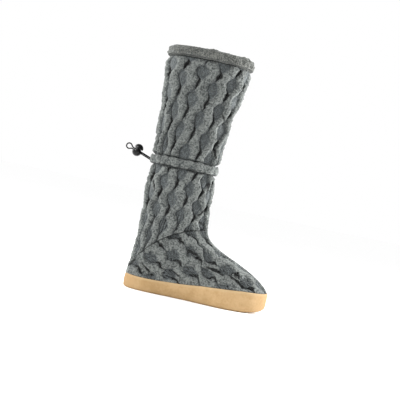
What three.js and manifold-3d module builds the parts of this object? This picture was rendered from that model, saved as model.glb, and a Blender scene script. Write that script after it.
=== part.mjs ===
// Slipper sock: a tall cable-knit boot on a suede-wrapped sole, with a drawstring at mid shaft.
// A right shoe, in millimetres. X runs from heel to toe, Y from the outer side (-) to the inner
// side (+), and Z up. The tables give lengths along the foot from the back of the heel.

import * as THREE from "three";
import { mergeVertices } from "three/addons/utils/BufferGeometryUtils.js";
import Module from "manifold-3d";

const wasm = await Module();
wasm.setup();

// Driving dimensions
const soleLength = 255;
const originFromHeel = soleLength / 2;
const clearance = 0.3;
const soleFloor = 11;
const cupWall = 3;
const heelEdgeRadius = 5;
const toeEdgeRadius = 12;
const toeSpring = 4;
const toeSpringStart = 195;
const leastEdgeShare = 0.15;
const insoleThickness = 4;
const knitWall = 6.5;
const cableHeight = 4;
const cableHalfWidth = 8.5;
const shaftTop = 415;
const cuffHeight = 17;
const cuffBulge = 3.2;
const casingBottom = 222;
const casingTop = 238;
const casingMiddle = (casingBottom + casingTop) / 2;
const casingBulge = 2.6;
const cordDiameter = 2.3;

// Where the knit's relief fades to its flat ground: over the band, at the casing and at the collar
const reliefFade = { band: 5, casing: 6, collar: 8 };

// How far a cutting solid runs past what it cuts, and how far a long one reaches
const overcut = 4;
const cutHeight = 80;
const farAway = 600;

// Counts that set how finely the surfaces are divided
const ringPoints = 40;
const pointsPerColumn = 4;
const innerRingPoints = 22;
const outlinePoints = 34;
const rowsInFoot = 19;
const rowsInShaft = 30;
const rowsInLining = 24;
const samplesPerSide = 80;
const turnedPoints = 20;
const edgeRings = 4;
const cordSteps = 36;
const cordSides = 8;

// Sole outline in plan: where the outer and inner edges lie at a share of the length
const soleOutline = [
  { share: 0.00, outer: 0, inner: 0 },
  { share: 0.03, outer: -20, inner: 20 },
  { share: 0.08, outer: -29, inner: 29 },
  { share: 0.18, outer: -34, inner: 34 },
  { share: 0.30, outer: -33.5, inner: 32.5 },
  { share: 0.42, outer: -34.5, inner: 30 },
  { share: 0.55, outer: -40, inner: 34 },
  { share: 0.68, outer: -45.5, inner: 42 },
  { share: 0.78, outer: -44.5, inner: 44.5 },
  { share: 0.88, outer: -36, inner: 41 },
  { share: 0.95, outer: -22.5, inner: 31 },
  { share: 1.00, outer: 5, inner: 5 },
];

// Half width over which an inset of the outline fades at its ends, and the most that it grows there
const endHalfWidth = 30;
const steepestInset = 3;

// Height of the suede band's top edge along the foot
const bandEdge = [
  { along: 0, top: 24 },
  { along: 45, top: 23.5 },
  { along: 80, top: 25 },
  { along: 108, top: 27 },
  { along: 135, top: 30.5 },
  { along: 175, top: 34.5 },
  { along: 210, top: 37 },
  { along: 255, top: 38 },
];

// Back of the heel and shaft, seen from the side
const heelLine = [
  { height: 0, along: 0 },
  { height: 26, along: 0 },
  { height: 45, along: 2.5 },
  { height: 70, along: 5.5 },
  { height: 100, along: 6.8 },
  { height: 140, along: 6 },
  { height: 165, along: 4.5 },
  { height: 191, along: 3 },
  { height: 205, along: 4.6 },
  { height: 214, along: 6.8 },
  { height: 222, along: 4.8 },
  { height: 238, along: 3.6 },
  { height: 250, along: 3.8 },
  { height: 288, along: 2.5 },
  { height: 322, along: 1.8 },
  { height: 358, along: -1.5 },
  { height: 393, along: -5.5 },
  { height: 415, along: -5 },
];

// Sections of the upper, from toe to collar. Each runs from its seat, at the back or underneath, to
// its front point on the vamp or shin. The seat is a height up the heel line, or as a negative
// number a length along the sole. The bow is how far the section arches over the straight line, the
// half width is its largest, and widest says at what share of the way from seat to front it is.
const sections = [
  { frontAlong: 255.0, frontHeight: 33.0, seat: -255.0, bow: 0, half: 2, widest: 0.98 },
  { frontAlong: 253.8, frontHeight: 38.0, seat: -253.8, bow: 0, half: 9, widest: 0.93 },
  { frontAlong: 250.5, frontHeight: 43.0, seat: -250.5, bow: 0, half: 17, widest: 0.83 },
  { frontAlong: 245.5, frontHeight: 48.0, seat: -245.0, bow: 0, half: 25, widest: 0.74 },
  { frontAlong: 238.0, frontHeight: 54.0, seat: -237.0, bow: 0, half: 32, widest: 0.66 },
  { frontAlong: 228.0, frontHeight: 61.0, seat: -226.0, bow: 0, half: 38, widest: 0.58 },
  { frontAlong: 216.0, frontHeight: 68.0, seat: -212.0, bow: 0, half: 42, widest: 0.52 },
  { frontAlong: 203.0, frontHeight: 74.5, seat: -196.0, bow: 0, half: 44, widest: 0.47 },
  { frontAlong: 189.0, frontHeight: 81.0, seat: -178.0, bow: 0, half: 43.5, widest: 0.43 },
  { frontAlong: 174.5, frontHeight: 87.0, seat: -158.0, bow: 1, half: 41, widest: 0.40 },
  { frontAlong: 161.0, frontHeight: 93.0, seat: -135.0, bow: 2, half: 39, widest: 0.38 },
  { frontAlong: 149.5, frontHeight: 99.0, seat: -110.0, bow: 4, half: 37.5, widest: 0.38 },
  { frontAlong: 140.5, frontHeight: 105.0, seat: -82.0, bow: 7, half: 37, widest: 0.38 },
  { frontAlong: 134.0, frontHeight: 111.0, seat: -53.0, bow: 11, half: 37, widest: 0.38 },
  { frontAlong: 130.0, frontHeight: 117.0, seat: -24.0, bow: 15, half: 37, widest: 0.40 },
  { frontAlong: 128.2, frontHeight: 121.5, seat: 10.0, bow: 18.5, half: 37, widest: 0.43 },
  { frontAlong: 127.2, frontHeight: 126.0, seat: 34.0, bow: 20, half: 37, widest: 0.45 },
  { frontAlong: 126.0, frontHeight: 134.0, seat: 60.0, bow: 17, half: 37.5, widest: 0.47 },
  { frontAlong: 125.0, frontHeight: 143.0, seat: 86.0, bow: 13, half: 38, widest: 0.48 },
  { frontAlong: 124.0, frontHeight: 154.0, seat: 112.0, bow: 9, half: 38.5, widest: 0.49 },
  { frontAlong: 123.0, frontHeight: 166.0, seat: 138.0, bow: 5, half: 38.5, widest: 0.5 },
  { frontAlong: 122.0, frontHeight: 178.0, seat: 165.0, bow: 2, half: 38.5, widest: 0.5 },
  { frontAlong: 121.5, frontHeight: 191.0, seat: 189.0, bow: 0, half: 38.5, widest: 0.5 },
  { frontAlong: 120.6, frontHeight: 205.0, seat: 205.0, bow: 0, half: 38, widest: 0.5 },
  { frontAlong: 119.6, frontHeight: 214.0, seat: 214.0, bow: 0, half: 37.5, widest: 0.5 },
  { frontAlong: 121.0, frontHeight: 222.0, seat: 222.0, bow: 0, half: 38, widest: 0.5 },
  { frontAlong: 121.8, frontHeight: 238.0, seat: 238.0, bow: 0, half: 38.5, widest: 0.5 },
  { frontAlong: 122.8, frontHeight: 250.0, seat: 250.0, bow: 0, half: 39.5, widest: 0.5 },
  { frontAlong: 126.8, frontHeight: 288.0, seat: 288.0, bow: 0, half: 41.5, widest: 0.5 },
  { frontAlong: 131.0, frontHeight: 322.0, seat: 322.0, bow: 0, half: 44, widest: 0.5 },
  { frontAlong: 137.0, frontHeight: 358.0, seat: 358.0, bow: 0, half: 47, widest: 0.5 },
  { frontAlong: 143.5, frontHeight: 393.0, seat: 393.0, bow: 0, half: 50, widest: 0.5 },
  { frontAlong: 146.0, frontHeight: 415.0, seat: 415.0, bow: 0, half: 51, widest: 0.5 },
];
const ankleSeamRow = 16;
const seamSquare = { along: 0.6, up: 0.8 };
const sectionRoundness = 2.3;
const bandBlend = 28;
const girthFlatness = 0.364;

// The heel's overhang moves the outline's places along the foot between these two lengths
const heelShift = { full: 10, none: 60 };

// Cable pattern of the two shaft panels: where a cell of an odd column starts, the pitch between
// cells, how it stretches downwards, the slope of the courses, and how the columns drift round
const columnsRound = 14;
const columnSpacing = 26.5;
const columnSpread = 0.09;
const shaftPanels = {
  upper: { start: 390, pitch: 46, stretch: 4, slope: 0.16, level: 345, shift: 0.24, drift: 0.0065 },
  lower: { start: 214, pitch: 47, stretch: 0.5, slope: 0.1, level: 165, shift: 0.12, drift: 0.008 },
};
const ridgeSwing = 0.17;
const shaftMiddle = 65;

// The drift of the columns starts between these shares of the girth from the back
const driftHold = { none: 0.02, full: 0.2 };

// Cable pattern of the foot panel: its columns run down the vamp, spaced from the centre line
const footPanel = {
  seamAlong: 127.2, seamHeight: 126, slope: THREE.MathUtils.degToRad(30),
  columnSpacing: 28, crownRadius: 44, start: 1.5, pitch: 43,
};

// Profile of the rolled cuff: out from the crest of the cables, and up from the shaft's top
const cuffProfile = [
  { out: -knitWall, up: clearance },
  { out: 0, up: clearance },
  { out: 2.3, up: 2.6 },
  { out: cuffBulge, up: 8.0 },
  { out: 2.2, up: 13.6 },
  { out: -1.2, up: cuffHeight },
  { out: -4.6, up: 16.2 },
  { out: -6.9, up: 12.6 },
  { out: -7.2, up: 6.0 },
];

// Profile of the drawstring casing: out from the crest, at a share of its height
const casingProfile = [
  { share: 0.0, out: 0.2 },
  { share: 0.1, out: 1.7 },
  { share: 0.5, out: casingBulge },
  { share: 0.9, out: 1.7 },
  { share: 1.0, out: 0.2 },
];

// Drawcord and cord lock, in a frame that starts where the cord leaves the casing. There X points
// along the cord, away from the shoe, and Z is the axis of the lock.
const cordRise = THREE.MathUtils.degToRad(20);
const cordExit = { along: 1.5, height: 230 };
const cordHoleRadius = 3.1;
const cordHoleDepth = 14;
const cordMiddle = -1.3;
const lockDistance = 26.6;
const cordRoute = [
  { out: -4.0, up: -2.6 }, { out: 4.0, up: -2.6 }, { out: 12.0, up: -2.6 }, { out: 20.0, up: -2.6 },
  { out: 28.0, up: -2.6 }, { out: 35.6, up: -2.6 }, { out: 38.2, up: -3.3 }, { out: 40.3, up: -5.0 },
  { out: 42.6, up: -6.0 }, { out: 45.8, up: -5.5 }, { out: 47.6, up: -3.7 }, { out: 48.2, up: -1.3 },
  { out: 47.6, up: 1.1 }, { out: 45.8, up: 2.9 }, { out: 42.6, up: 3.4 }, { out: 40.3, up: 2.4 },
  { out: 38.2, up: 0.7 }, { out: 35.6, up: 0 }, { out: 28.0, up: 0 }, { out: 20.0, up: 0 },
  { out: 12.0, up: 0 }, { out: 4.0, up: 0 }, { out: -4.0, up: 0 },
];
const barrel = { radius: 8.4, centre: -3.0, rim: 2.6, boreRadius: 4.6, boreFloor: -9.9 };
const button = { radius: 8.2, centre: 3.1, face: 5.1, stemRadius: 4.3, stemEnd: -7.0 };
const slotWidth = 3.0;
const slotLength = 30;
const slotBottom = -4.1;
const barrelSlotTop = 1.5;
const buttonSlotTop = 4.0;

// Smooth curve through a table: gives the wanted column at a value of the other column
function curveThrough(table, over, wanted) {
  const at = table.map((row) => row[over]);
  const to = table.map((row) => row[wanted]);
  const slopes = to.map((value, i) => {
    const before = Math.max(i - 1, 0);
    const after = Math.min(i + 1, to.length - 1);
    return (to[after] - to[before]) / (at[after] - at[before]);
  });
  return (value) => {
    let i = 0;
    while (i < at.length - 2 && value > at[i + 1]) {
      i += 1;
    }
    const span = at[i + 1] - at[i];
    const t = THREE.MathUtils.clamp((value - at[i]) / span, 0, 1);
    const t2 = t * t;
    const t3 = t2 * t;
    return (2 * t3 - 3 * t2 + 1) * to[i] + (t3 - 2 * t2 + t) * span * slopes[i]
      + (3 * t2 - 2 * t3) * to[i + 1] + (t3 - t2) * span * slopes[i + 1];
  };
}

const smooth = (low, high, value) => THREE.MathUtils.smoothstep(value, low, high);

// The outline's curves run over an angle that is 0 at the heel and pi at the toe, so that both ends
// come out round
const outlineAngle = (share) => Math.acos(1 - 2 * THREE.MathUtils.clamp(share, 0, 1));
const outlineByAngle = soleOutline.map((row) => ({ ...row, angle: outlineAngle(row.share) }));
const outerByAngle = curveThrough(outlineByAngle, "angle", "outer");
const innerByAngle = curveThrough(outlineByAngle, "angle", "inner");
const outerEdge = (along) => outerByAngle(outlineAngle(along / soleLength));
const innerEdge = (along) => innerByAngle(outlineAngle(along / soleLength));
const bandTop = curveThrough(bandEdge, "along", "top");
const heelAlong = curveThrough(heelLine, "height", "along");

// Sections by number, with everything between two rows of the table worked out smoothly
const numbered = sections.map((row, number) => ({ ...row, number }));
const sectionCurves = Object.fromEntries(
  ["frontAlong", "frontHeight", "seat", "bow", "half", "widest"].map(
    (name) => [name, curveThrough(numbered, "number", name)],
  ),
);

function sectionAt(number) {
  const row = {};
  for (const [name, curve] of Object.entries(sectionCurves)) {
    row[name] = curve(number);
  }
  row.seatAlong = row.seat < 0 ? -row.seat : heelAlong(row.seat);
  row.seatHeight = Math.max(row.seat, 0);
  return row;
}

// A point of a section, at a share of the way from its seat to its front, on one side of the foot
function sectionPoint(row, share, side) {
  const dx = row.frontAlong - row.seatAlong;
  const dz = row.frontHeight - row.seatHeight;
  const length = Math.hypot(dx, dz);
  const arch = row.bow * 4 * share * (1 - share);
  const along = row.seatAlong + dx * share - (dz / length) * arch;
  const height = row.seatHeight + dz * share + (dx / length) * arch;
  const round = (t) => Math.pow(Math.max(1 - Math.pow(t, sectionRoundness), 0), 1 / sectionRoundness);
  const towardFront = share > row.widest ? round((share - row.widest) / (1 - row.widest)) : 1;
  const towardSeat = share < row.widest ? round((row.widest - share) / row.widest) : 1;
  const edge = bandTop(along);
  const free = smooth(edge, edge + bandBlend, height);
  const fromHeel = along - heelAlong(height) * (1 - smooth(heelShift.full, heelShift.none, along));
  const outer = outerEdge(fromHeel);
  const inner = innerEdge(fromHeel);
  const centre = free === 1 ? 0 : (outer + inner) / 2;
  const middle = centre * (1 - smooth(edge, edge + 3 * bandBlend, height));
  const soleHalf = side < 0 ? middle - outer : inner - middle;
  const half = (1 - free) * soleHalf + free * row.half * towardSeat;
  return new THREE.Vector3(along, middle + side * half * towardFront, height);
}

// A closed ring of points round a section, evenly spaced along each side. It starts at the front and
// goes down the inner side.
function sectionRing(number, count) {
  const row = sectionAt(number);
  const halfRing = (side) => {
    const line = [];
    for (let i = 0; i <= samplesPerSide; i += 1) {
      line.push(sectionPoint(row, 0.5 + 0.5 * Math.cos((Math.PI * i) / samplesPerSide), side));
    }
    const end = line[samplesPerSide];
    const middle = row.seat < 0 ? (outerEdge(end.x) + innerEdge(end.x)) / 2 : 0;
    line.push(new THREE.Vector3(end.x, middle, end.z));
    const run = [0];
    for (let i = 1; i < line.length; i += 1) {
      run.push(run[i - 1] + line[i].distanceTo(line[i - 1]));
    }
    const points = [];
    let i = 1;
    for (let k = 0; k <= count / 2; k += 1) {
      const target = (run[run.length - 1] * k) / (count / 2);
      while (i < run.length - 1 && run[i] < target) {
        i += 1;
      }
      const t = run[i] > run[i - 1] ? (target - run[i - 1]) / (run[i] - run[i - 1]) : 0;
      points.push(line[i - 1].clone().lerp(line[i], THREE.MathUtils.clamp(t, 0, 1)));
    }
    return points;
  };
  const outerSide = halfRing(-1);
  const innerSide = halfRing(1);
  innerSide[0].copy(outerSide[0]);
  innerSide[count / 2].copy(outerSide[count / 2]);
  return [...innerSide, ...outerSide.slice(1, -1).reverse()];
}

// How far the ridge after a column swings from its middle line at a phase
function ridgeSwingAt(ridge, phase) {
  const sign = Math.abs(ridge) % 2 === 1 ? 1 : -1;
  return sign * ridgeSwing * Math.cos(2 * Math.PI * phase);
}

// Height of the knit's ridges, from 0 to 1, at a column and phase: they swing together and apart
function cableRelief(column, phase, spacing) {
  let height = 0;
  const nearest = Math.floor(column);
  for (let ridge = nearest - 1; ridge <= nearest + 1; ridge += 1) {
    const centre = ridge + 0.5 + ridgeSwingAt(ridge, phase);
    const off = (Math.abs(column - centre) * spacing) / cableHalfWidth;
    height = Math.max(height, off < 1 ? Math.pow(1 - off * off, 0.6) : 0);
  }
  return height;
}

// Share of a shaft section's girth from its back, for a point at a share of its depth
function girthShare(share) {
  const t = THREE.MathUtils.clamp(share, 0, 1);
  return girthFlatness * t + ((1 - girthFlatness) * Math.acos(1 - 2 * t)) / Math.PI;
}

const shinLine = numbered.slice(ankleSeamRow)
  .map((row) => ({ height: row.frontHeight, along: row.frontAlong }));
const shinAlong = curveThrough(shinLine, "height", "along");

const shaftPanelAt = (height) => (height > casingMiddle ? shaftPanels.upper : shaftPanels.lower);

// Column coordinate of the shaft's cables: whole numbers are the middles of the columns
function shaftColumn(point) {
  const panel = shaftPanelAt(point.z);
  const back = heelAlong(point.z);
  const share = girthShare((point.x - back) / (shinAlong(point.z) - back)) / 2;
  const girth = point.y < 0 ? share : 1 - share;
  const hold = smooth(driftHold.none, driftHold.full, Math.min(girth, 1 - girth));
  const spread = (columnSpread * (Math.cos(2 * Math.PI * girth) - 1)) / (2 * Math.PI);
  return columnsRound * (girth + spread) + panel.shift + panel.drift * (panel.level - point.z) * hold;
}

// Phase of the shaft's cables: whole numbers are the cells of the odd columns
function shaftPhase(point) {
  const panel = shaftPanelAt(point.z);
  const drop = panel.start - point.z - panel.slope * (point.x - shaftMiddle);
  const root = Math.sqrt(Math.max(panel.pitch ** 2 + 4 * panel.stretch * drop, 1));
  return (root - panel.pitch) / (2 * panel.stretch);
}

const shaftRelief = (point) => cableRelief(shaftColumn(point), shaftPhase(point), columnSpacing);

// A closed ring round a shaft section with its points on the ridges, their flanks and the cells
function cableRing(number) {
  const row = sectionAt(number);
  const line = [];
  const columns = [];
  for (let i = 0; i <= 2 * samplesPerSide; i += 1) {
    const side = i <= samplesPerSide ? -1 : 1;
    const point = sectionPoint(row, 0.5 - 0.5 * Math.cos((Math.PI * i) / samplesPerSide), side);
    const column = shaftColumn(point);
    line.push(point);
    columns.push(i > samplesPerSide ? Math.max(column, columns[i - 1]) : column);
  }
  const pointAt = (target) => {
    let i = 1;
    while (i < line.length - 1 && columns[i] < target) {
      i += 1;
    }
    const span = Math.max(columns[i] - columns[i - 1], 1e-6);
    const t = THREE.MathUtils.clamp((target - columns[i - 1]) / span, 0, 1);
    return line[i - 1].clone().lerp(line[i], t);
  };
  const ring = [];
  for (let m = 1; m <= columnsRound * pointsPerColumn; m += 1) {
    const whole = Math.floor(m / pointsPerColumn);
    const part = (m % pointsPerColumn) / pointsPerColumn;
    const swing = ridgeSwingAt(whole, shaftPhase(pointAt(m / pointsPerColumn)));
    ring.push(pointAt(whole + part + swing * (1 - Math.abs(2 * part - 1))));
  }
  return ring;
}

const vampLine = numbered.slice(0, ankleSeamRow + 1).reverse()
  .map((row) => ({ along: row.frontAlong, height: row.frontHeight }));
const vampHeight = curveThrough(vampLine, "along", "height");

function footRelief(point) {
  const { seamAlong, seamHeight, slope, columnSpacing, crownRadius, start, pitch } = footPanel;
  const ahead = point.x - seamAlong;
  const run = ahead * Math.cos(slope) - (point.z - seamHeight) * Math.sin(slope);
  const crown = ahead > 0 ? vampHeight(point.x) : seamHeight - ahead * Math.tan(slope);
  const below = Math.max((crown - point.z) * Math.cos(slope), 0);
  const turn = Math.atan2(Math.abs(point.y), Math.max(crownRadius - below, 0));
  const across = crownRadius * turn + Math.max(below - crownRadius, 0);
  const column = (Math.sign(point.y || 1) * across) / columnSpacing - 0.5;
  return cableRelief(column, (run - start) / pitch, columnSpacing);
}

// Surface normals of a grid of rings, pointing out of the foot. The ring at the toe's tip is shut to
// an upright line, and points forward.
function ringNormals(rings) {
  const rows = rings.length;
  const count = rings[0].length;
  return rings.map((ring, i) => ring.map((_, k) => {
    if (ring[k].x > soleLength - 0.01) {
      return new THREE.Vector3(1, 0, 0);
    }
    const along = new THREE.Vector3().subVectors(
      rings[Math.min(i + 1, rows - 1)][k], rings[Math.max(i - 1, 0)][k]);
    const around = new THREE.Vector3().subVectors(ring[(k + 1) % count], ring[(k + count - 1) % count]);
    return along.cross(around).negate().normalize();
  }));
}

// Section numbers between two sections, spaced evenly along the foot and up the shaft
function evenNumbers(from, to, rows) {
  const fine = 400;
  const numbers = [from];
  const run = [0];
  let before = sectionAt(from);
  for (let i = 1; i <= fine; i += 1) {
    const number = from + ((to - from) * i) / fine;
    const row = sectionAt(number);
    const front = Math.hypot(row.frontAlong - before.frontAlong, row.frontHeight - before.frontHeight);
    const seat = Math.hypot(row.seatAlong - before.seatAlong, row.seatHeight - before.seatHeight);
    numbers.push(number);
    run.push(run[i - 1] + Math.hypot(0.5 * (front + seat), row.half - before.half));
    before = row;
  }
  const even = [];
  let i = 1;
  for (let k = 0; k <= rows; k += 1) {
    const target = (run[fine] * k) / rows;
    while (i < fine && run[i] < target) {
      i += 1;
    }
    const t = (target - run[i - 1]) / (run[i] - run[i - 1]);
    even.push(THREE.MathUtils.lerp(numbers[i - 1], numbers[i], t));
  }
  return even;
}

// Rings of the upper between two sections, moved in by a depth that may change from point to point
function upperRings(from, to, rows, ringAt, depth) {
  const rings = evenNumbers(from, to, rows).map(ringAt);
  const normals = ringNormals(rings);
  return rings.map((ring, i) => ring.map((point, k) => {
    const moved = point.clone().addScaledVector(normals[i][k], -depth(point));
    moved.x -= originFromHeel;
    moved.z = point.z === shaftTop ? shaftTop : moved.z;
    return moved;
  }));
}

// Closed geometry from rings of points. The last ring joins the first where they go round in a loop,
// and otherwise the two ends are bridged from side to side.
function geometryOfRings(rings, loop = false) {
  const count = rings[0].length;
  const positions = rings.flat().flatMap((p) => [p.x, p.y, p.z]);
  const triangles = [];
  for (let i = 0; i < (loop ? rings.length : rings.length - 1); i += 1) {
    const next = ((i + 1) % rings.length) * count;
    for (let k = 0; k < count; k += 1) {
      const after = (k + 1) % count;
      const a = i * count + k;
      const b = i * count + after;
      triangles.push(a, b, next + k, b, next + after, next + k);
    }
  }
  const last = (rings.length - 1) * count;
  for (let k = 0; k < (loop ? 0 : count / 2); k += 1) {
    const near = [k, k + 1];
    const far = [(count - k) % count, count - k - 1];
    triangles.push(near[0], far[0], near[1], far[0], far[1], near[1]);
    triangles.push(last + near[0], last + near[1], last + far[0]);
    triangles.push(last + far[0], last + near[1], last + far[1]);
  }
  const geometry = new THREE.BufferGeometry();
  geometry.setAttribute("position", new THREE.Float32BufferAttribute(positions, 3));
  geometry.setIndex(triangles);
  return geometry;
}

// A solid from a closed geometry, and a geometry from a solid
function solidOf(geometry) {
  const bare = geometry.clone();
  bare.deleteAttribute("normal");
  bare.deleteAttribute("uv");
  const merged = mergeVertices(bare, 1e-4);
  const index = merged.index.array;
  const kept = [];
  for (let i = 0; i < index.length; i += 3) {
    if (index[i] !== index[i + 1] && index[i + 1] !== index[i + 2] && index[i] !== index[i + 2]) {
      kept.push(index[i], index[i + 1], index[i + 2]);
    }
  }
  const mesh = new wasm.Mesh({
    numProp: 3,
    vertProperties: new Float32Array(merged.attributes.position.array),
    triVerts: new Uint32Array(kept),
  });
  return new wasm.Manifold(mesh);
}

function geometryOf(solid) {
  const mesh = solid.getMesh();
  const geometry = new THREE.BufferGeometry();
  geometry.setAttribute("position", new THREE.BufferAttribute(new Float32Array(mesh.vertProperties), 3));
  geometry.setIndex(new THREE.BufferAttribute(new Uint32Array(mesh.triVerts), 1));
  return geometry;
}

// Length of an edge of the outline for each millimetre along the foot
function edgeTilt(edge, along) {
  const low = Math.max(along - 0.5, 0.2);
  const high = Math.min(along + 0.5, soleLength - 0.2);
  return Math.hypot(1, (edge(high) - edge(low)) / (high - low));
}

// Plan outline of the sole as pairs of points at the same length, moved in by an inset. On the long
// sides the inset is square to the edge, and towards the two ends it fades with the width.
function outlinePairs(inset, count) {
  const middleAlong = soleLength / 2;
  const pairs = [];
  for (let i = 0; i <= count; i += 1) {
    const angle = (Math.PI * i) / count;
    const full = middleAlong * (1 - Math.cos(angle));
    const middle = (outerEdge(full) + innerEdge(full)) / 2;
    const sides = Math.sin(angle) ** 2;
    const kept = (edge) => {
      const room = Math.abs(edge(full) - middle);
      const square = sides * edgeTilt(edge, full) + ((1 - sides) * room) / endHalfWidth;
      return Math.max(room - inset * Math.min(square, steepestInset), 0);
    };
    pairs.push({
      along: middleAlong - (middleAlong - inset) * Math.cos(angle),
      outer: middle - kept(outerEdge),
      inner: middle + kept(innerEdge),
    });
  }
  return pairs;
}

// A ring of points from outline pairs, with a height worked out along the foot
function ringOfPairs(pairs, height) {
  const point = (along, y) => new THREE.Vector3(along - originFromHeel, y, height(along));
  const outerSide = pairs.map((pair) => point(pair.along, pair.outer));
  const innerSide = pairs.slice(1, -1).reverse().map((pair) => point(pair.along, pair.inner));
  return [...outerSide, ...innerSide];
}

function soleUnderside(along) {
  const t = Math.max(along - toeSpringStart, 0) / (soleLength - toeSpringStart);
  return toeSpring * t * t;
}

function soleEdgeRadius(along) {
  return heelEdgeRadius + (toeEdgeRadius - heelEdgeRadius) * smooth(150, soleLength, along);
}

// Rings of the sole from its underside up: the rounded edge, the side and the band's top
function soleEnvelope() {
  const full = outlinePairs(0, outlinePoints);
  const rings = [];
  for (let i = 0; i <= edgeRings; i += 1) {
    const angle = (Math.PI / 2) * (i / edgeRings);
    const mixed = full.map((pair) => {
      const radius = soleEdgeRadius(pair.along);
      const inset = radius * (1 - Math.sin(angle));
      const middle = (pair.outer + pair.inner) / 2;
      const half = (pair.inner - pair.outer) / 2;
      const edge = soleLength / 2;
      const scaleAlong = (edge - inset) / edge;
      const scaleSide = half > 0 ? Math.max(half - inset, leastEdgeShare * half) / half : 1;
      return {
        along: edge + (pair.along - edge) * scaleAlong,
        outer: middle - half * scaleSide,
        inner: middle + half * scaleSide,
        rise: radius * (1 - Math.cos(angle)),
      };
    });
    const ring = ringOfPairs(mixed, soleUnderside);
    const rises = [...mixed, ...mixed.slice(1, -1).reverse()];
    ring.forEach((point, k) => {
      point.z += rises[k].rise;
    });
    rings.push(ring);
  }
  rings.push(ringOfPairs(full, bandTop));
  return solidOf(geometryOfRings(rings));
}

// An upright solid inside the outline, between two heights that may change along the foot
function outlineSolid(inset, bottom, top) {
  const pairs = outlinePairs(inset, outlinePoints);
  return solidOf(geometryOfRings([ringOfPairs(pairs, bottom), ringOfPairs(pairs, top)]));
}

// The space inside the upper, at a depth from the crest of its cables, open through the collar
function shoeInside(depth) {
  const liningRing = (number) => sectionRing(number, innerRingPoints);
  const rings = upperRings(0, sections.length - 1, rowsInLining, liningRing, () => depth);
  rings.push(rings[rings.length - 1].map((point) => point.clone().setZ(shaftTop + 2 * overcut)));
  return solidOf(geometryOfRings(rings));
}

// Depth from the crest of the cables to the knit's face, flat under the casing and behind the band
function knitDepth(relief) {
  return (point) => {
    const edge = bandTop(point.x);
    const shows = smooth(edge, edge + reliefFade.band, point.z);
    const fromCasing = Math.max(casingBottom - point.z, point.z - casingTop, 0);
    const cased = 1 - smooth(0, reliefFade.casing, fromCasing);
    const collar = smooth(shaftTop - reliefFade.collar, shaftTop, point.z);
    const crest = relief(point) * (1 - cased) * (1 - collar);
    return shows * cableHeight * (1 - crest);
  };
}

const inside = shoeInside(knitWall);
const cupSpace = outlineSolid(cupWall + clearance, () => soleFloor + clearance, () => cutHeight);
const bandZone = outlineSolid(-overcut, () => -overcut, (along) => bandTop(along) + clearance);
const cupCutter = bandZone.subtract(cupSpace);

// Everything above the ankle seam, or above a line that lies an offset away from it
function aboveSeam(offset) {
  const row = sectionAt(ankleSeamRow);
  const steps = 16;
  const line = [];
  for (let i = -2; i <= steps + 2; i += 1) {
    const point = sectionPoint(row, i / steps, 1);
    const x = point.x - originFromHeel - offset * seamSquare.along;
    line.push(new THREE.Vector2(x, point.z + offset * seamSquare.up));
  }
  const shape = new THREE.Shape([
    new THREE.Vector2(-farAway, line[0].y),
    ...line,
    new THREE.Vector2(farAway, line[line.length - 1].y),
    new THREE.Vector2(farAway, farAway),
    new THREE.Vector2(-farAway, farAway),
  ]);
  const wedge = new THREE.ExtrudeGeometry(shape, { depth: farAway, bevelEnabled: false, steps: 1 });
  wedge.rotateX(Math.PI / 2);
  wedge.translate(0, farAway / 2, 0);
  return solidOf(wedge);
}

function footUpper() {
  const footRing = (number) => sectionRing(number, ringPoints);
  const rings = upperRings(0, ankleSeamRow + 1, rowsInFoot, footRing, knitDepth(footRelief));
  const form = solidOf(geometryOfRings(rings)).subtract(inside).subtract(cupCutter);
  return form.subtract(aboveSeam(-clearance / 2));
}

function shaft() {
  const last = sections.length - 1;
  const rings = upperRings(ankleSeamRow - 1, last, rowsInShaft, cableRing, knitDepth(shaftRelief));
  const form = solidOf(geometryOfRings(rings)).subtract(inside).subtract(cupCutter);
  const underCasing = shaftPlug(casingBottom - overcut, casingTop + overcut, -cableHeight);
  const room = shaftPlug(casingBottom - clearance, casingTop + clearance, 2 * overcut);
  return form.subtract(room.subtract(underCasing)).intersect(aboveSeam(clearance / 2));
}

function sole() {
  const hollow = outlineSolid(cupWall, () => soleFloor, () => cutHeight);
  return soleEnvelope().subtract(hollow);
}

function insole() {
  const bottom = soleFloor + clearance;
  const layer = outlineSolid(0, () => bottom, () => bottom + insoleThickness);
  return shoeInside(knitWall + 2 * clearance).intersect(layer);
}

// Section number of a level section of the shaft at a height
const levelSections = numbered.filter((row) => row.frontHeight === row.seat);
const sectionNumber = curveThrough(levelSections, "seat", "number");

// Plug of the shaft between two heights, at a distance out from the crest of the cables
function shaftPlug(bottom, top, out) {
  const rings = [];
  const steps = 2;
  for (let i = 0; i <= steps; i += 1) {
    const height = bottom + ((top - bottom) * i) / steps;
    rings.push(levelRing(height, out, height));
  }
  return solidOf(geometryOfRings(rings));
}

// Ring round the shaft at a height, moved out from the crest and set at its own level
function levelRing(height, out, level) {
  const ring = sectionRing(sectionNumber(height), ringPoints);
  const normals = ring.map((_, k) => {
    const around = new THREE.Vector3().subVectors(
      ring[(k + 1) % ringPoints], ring[(k + ringPoints - 1) % ringPoints]);
    return new THREE.Vector3(around.y, -around.x, 0).normalize();
  });
  return ring.map((point, k) => new THREE.Vector3(
    point.x + normals[k].x * out - originFromHeel, point.y + normals[k].y * out, level));
}

function rolledCuff() {
  const rings = cuffProfile.map((row) => levelRing(shaftTop, row.out, shaftTop + row.up));
  return solidOf(geometryOfRings(rings, true));
}

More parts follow.
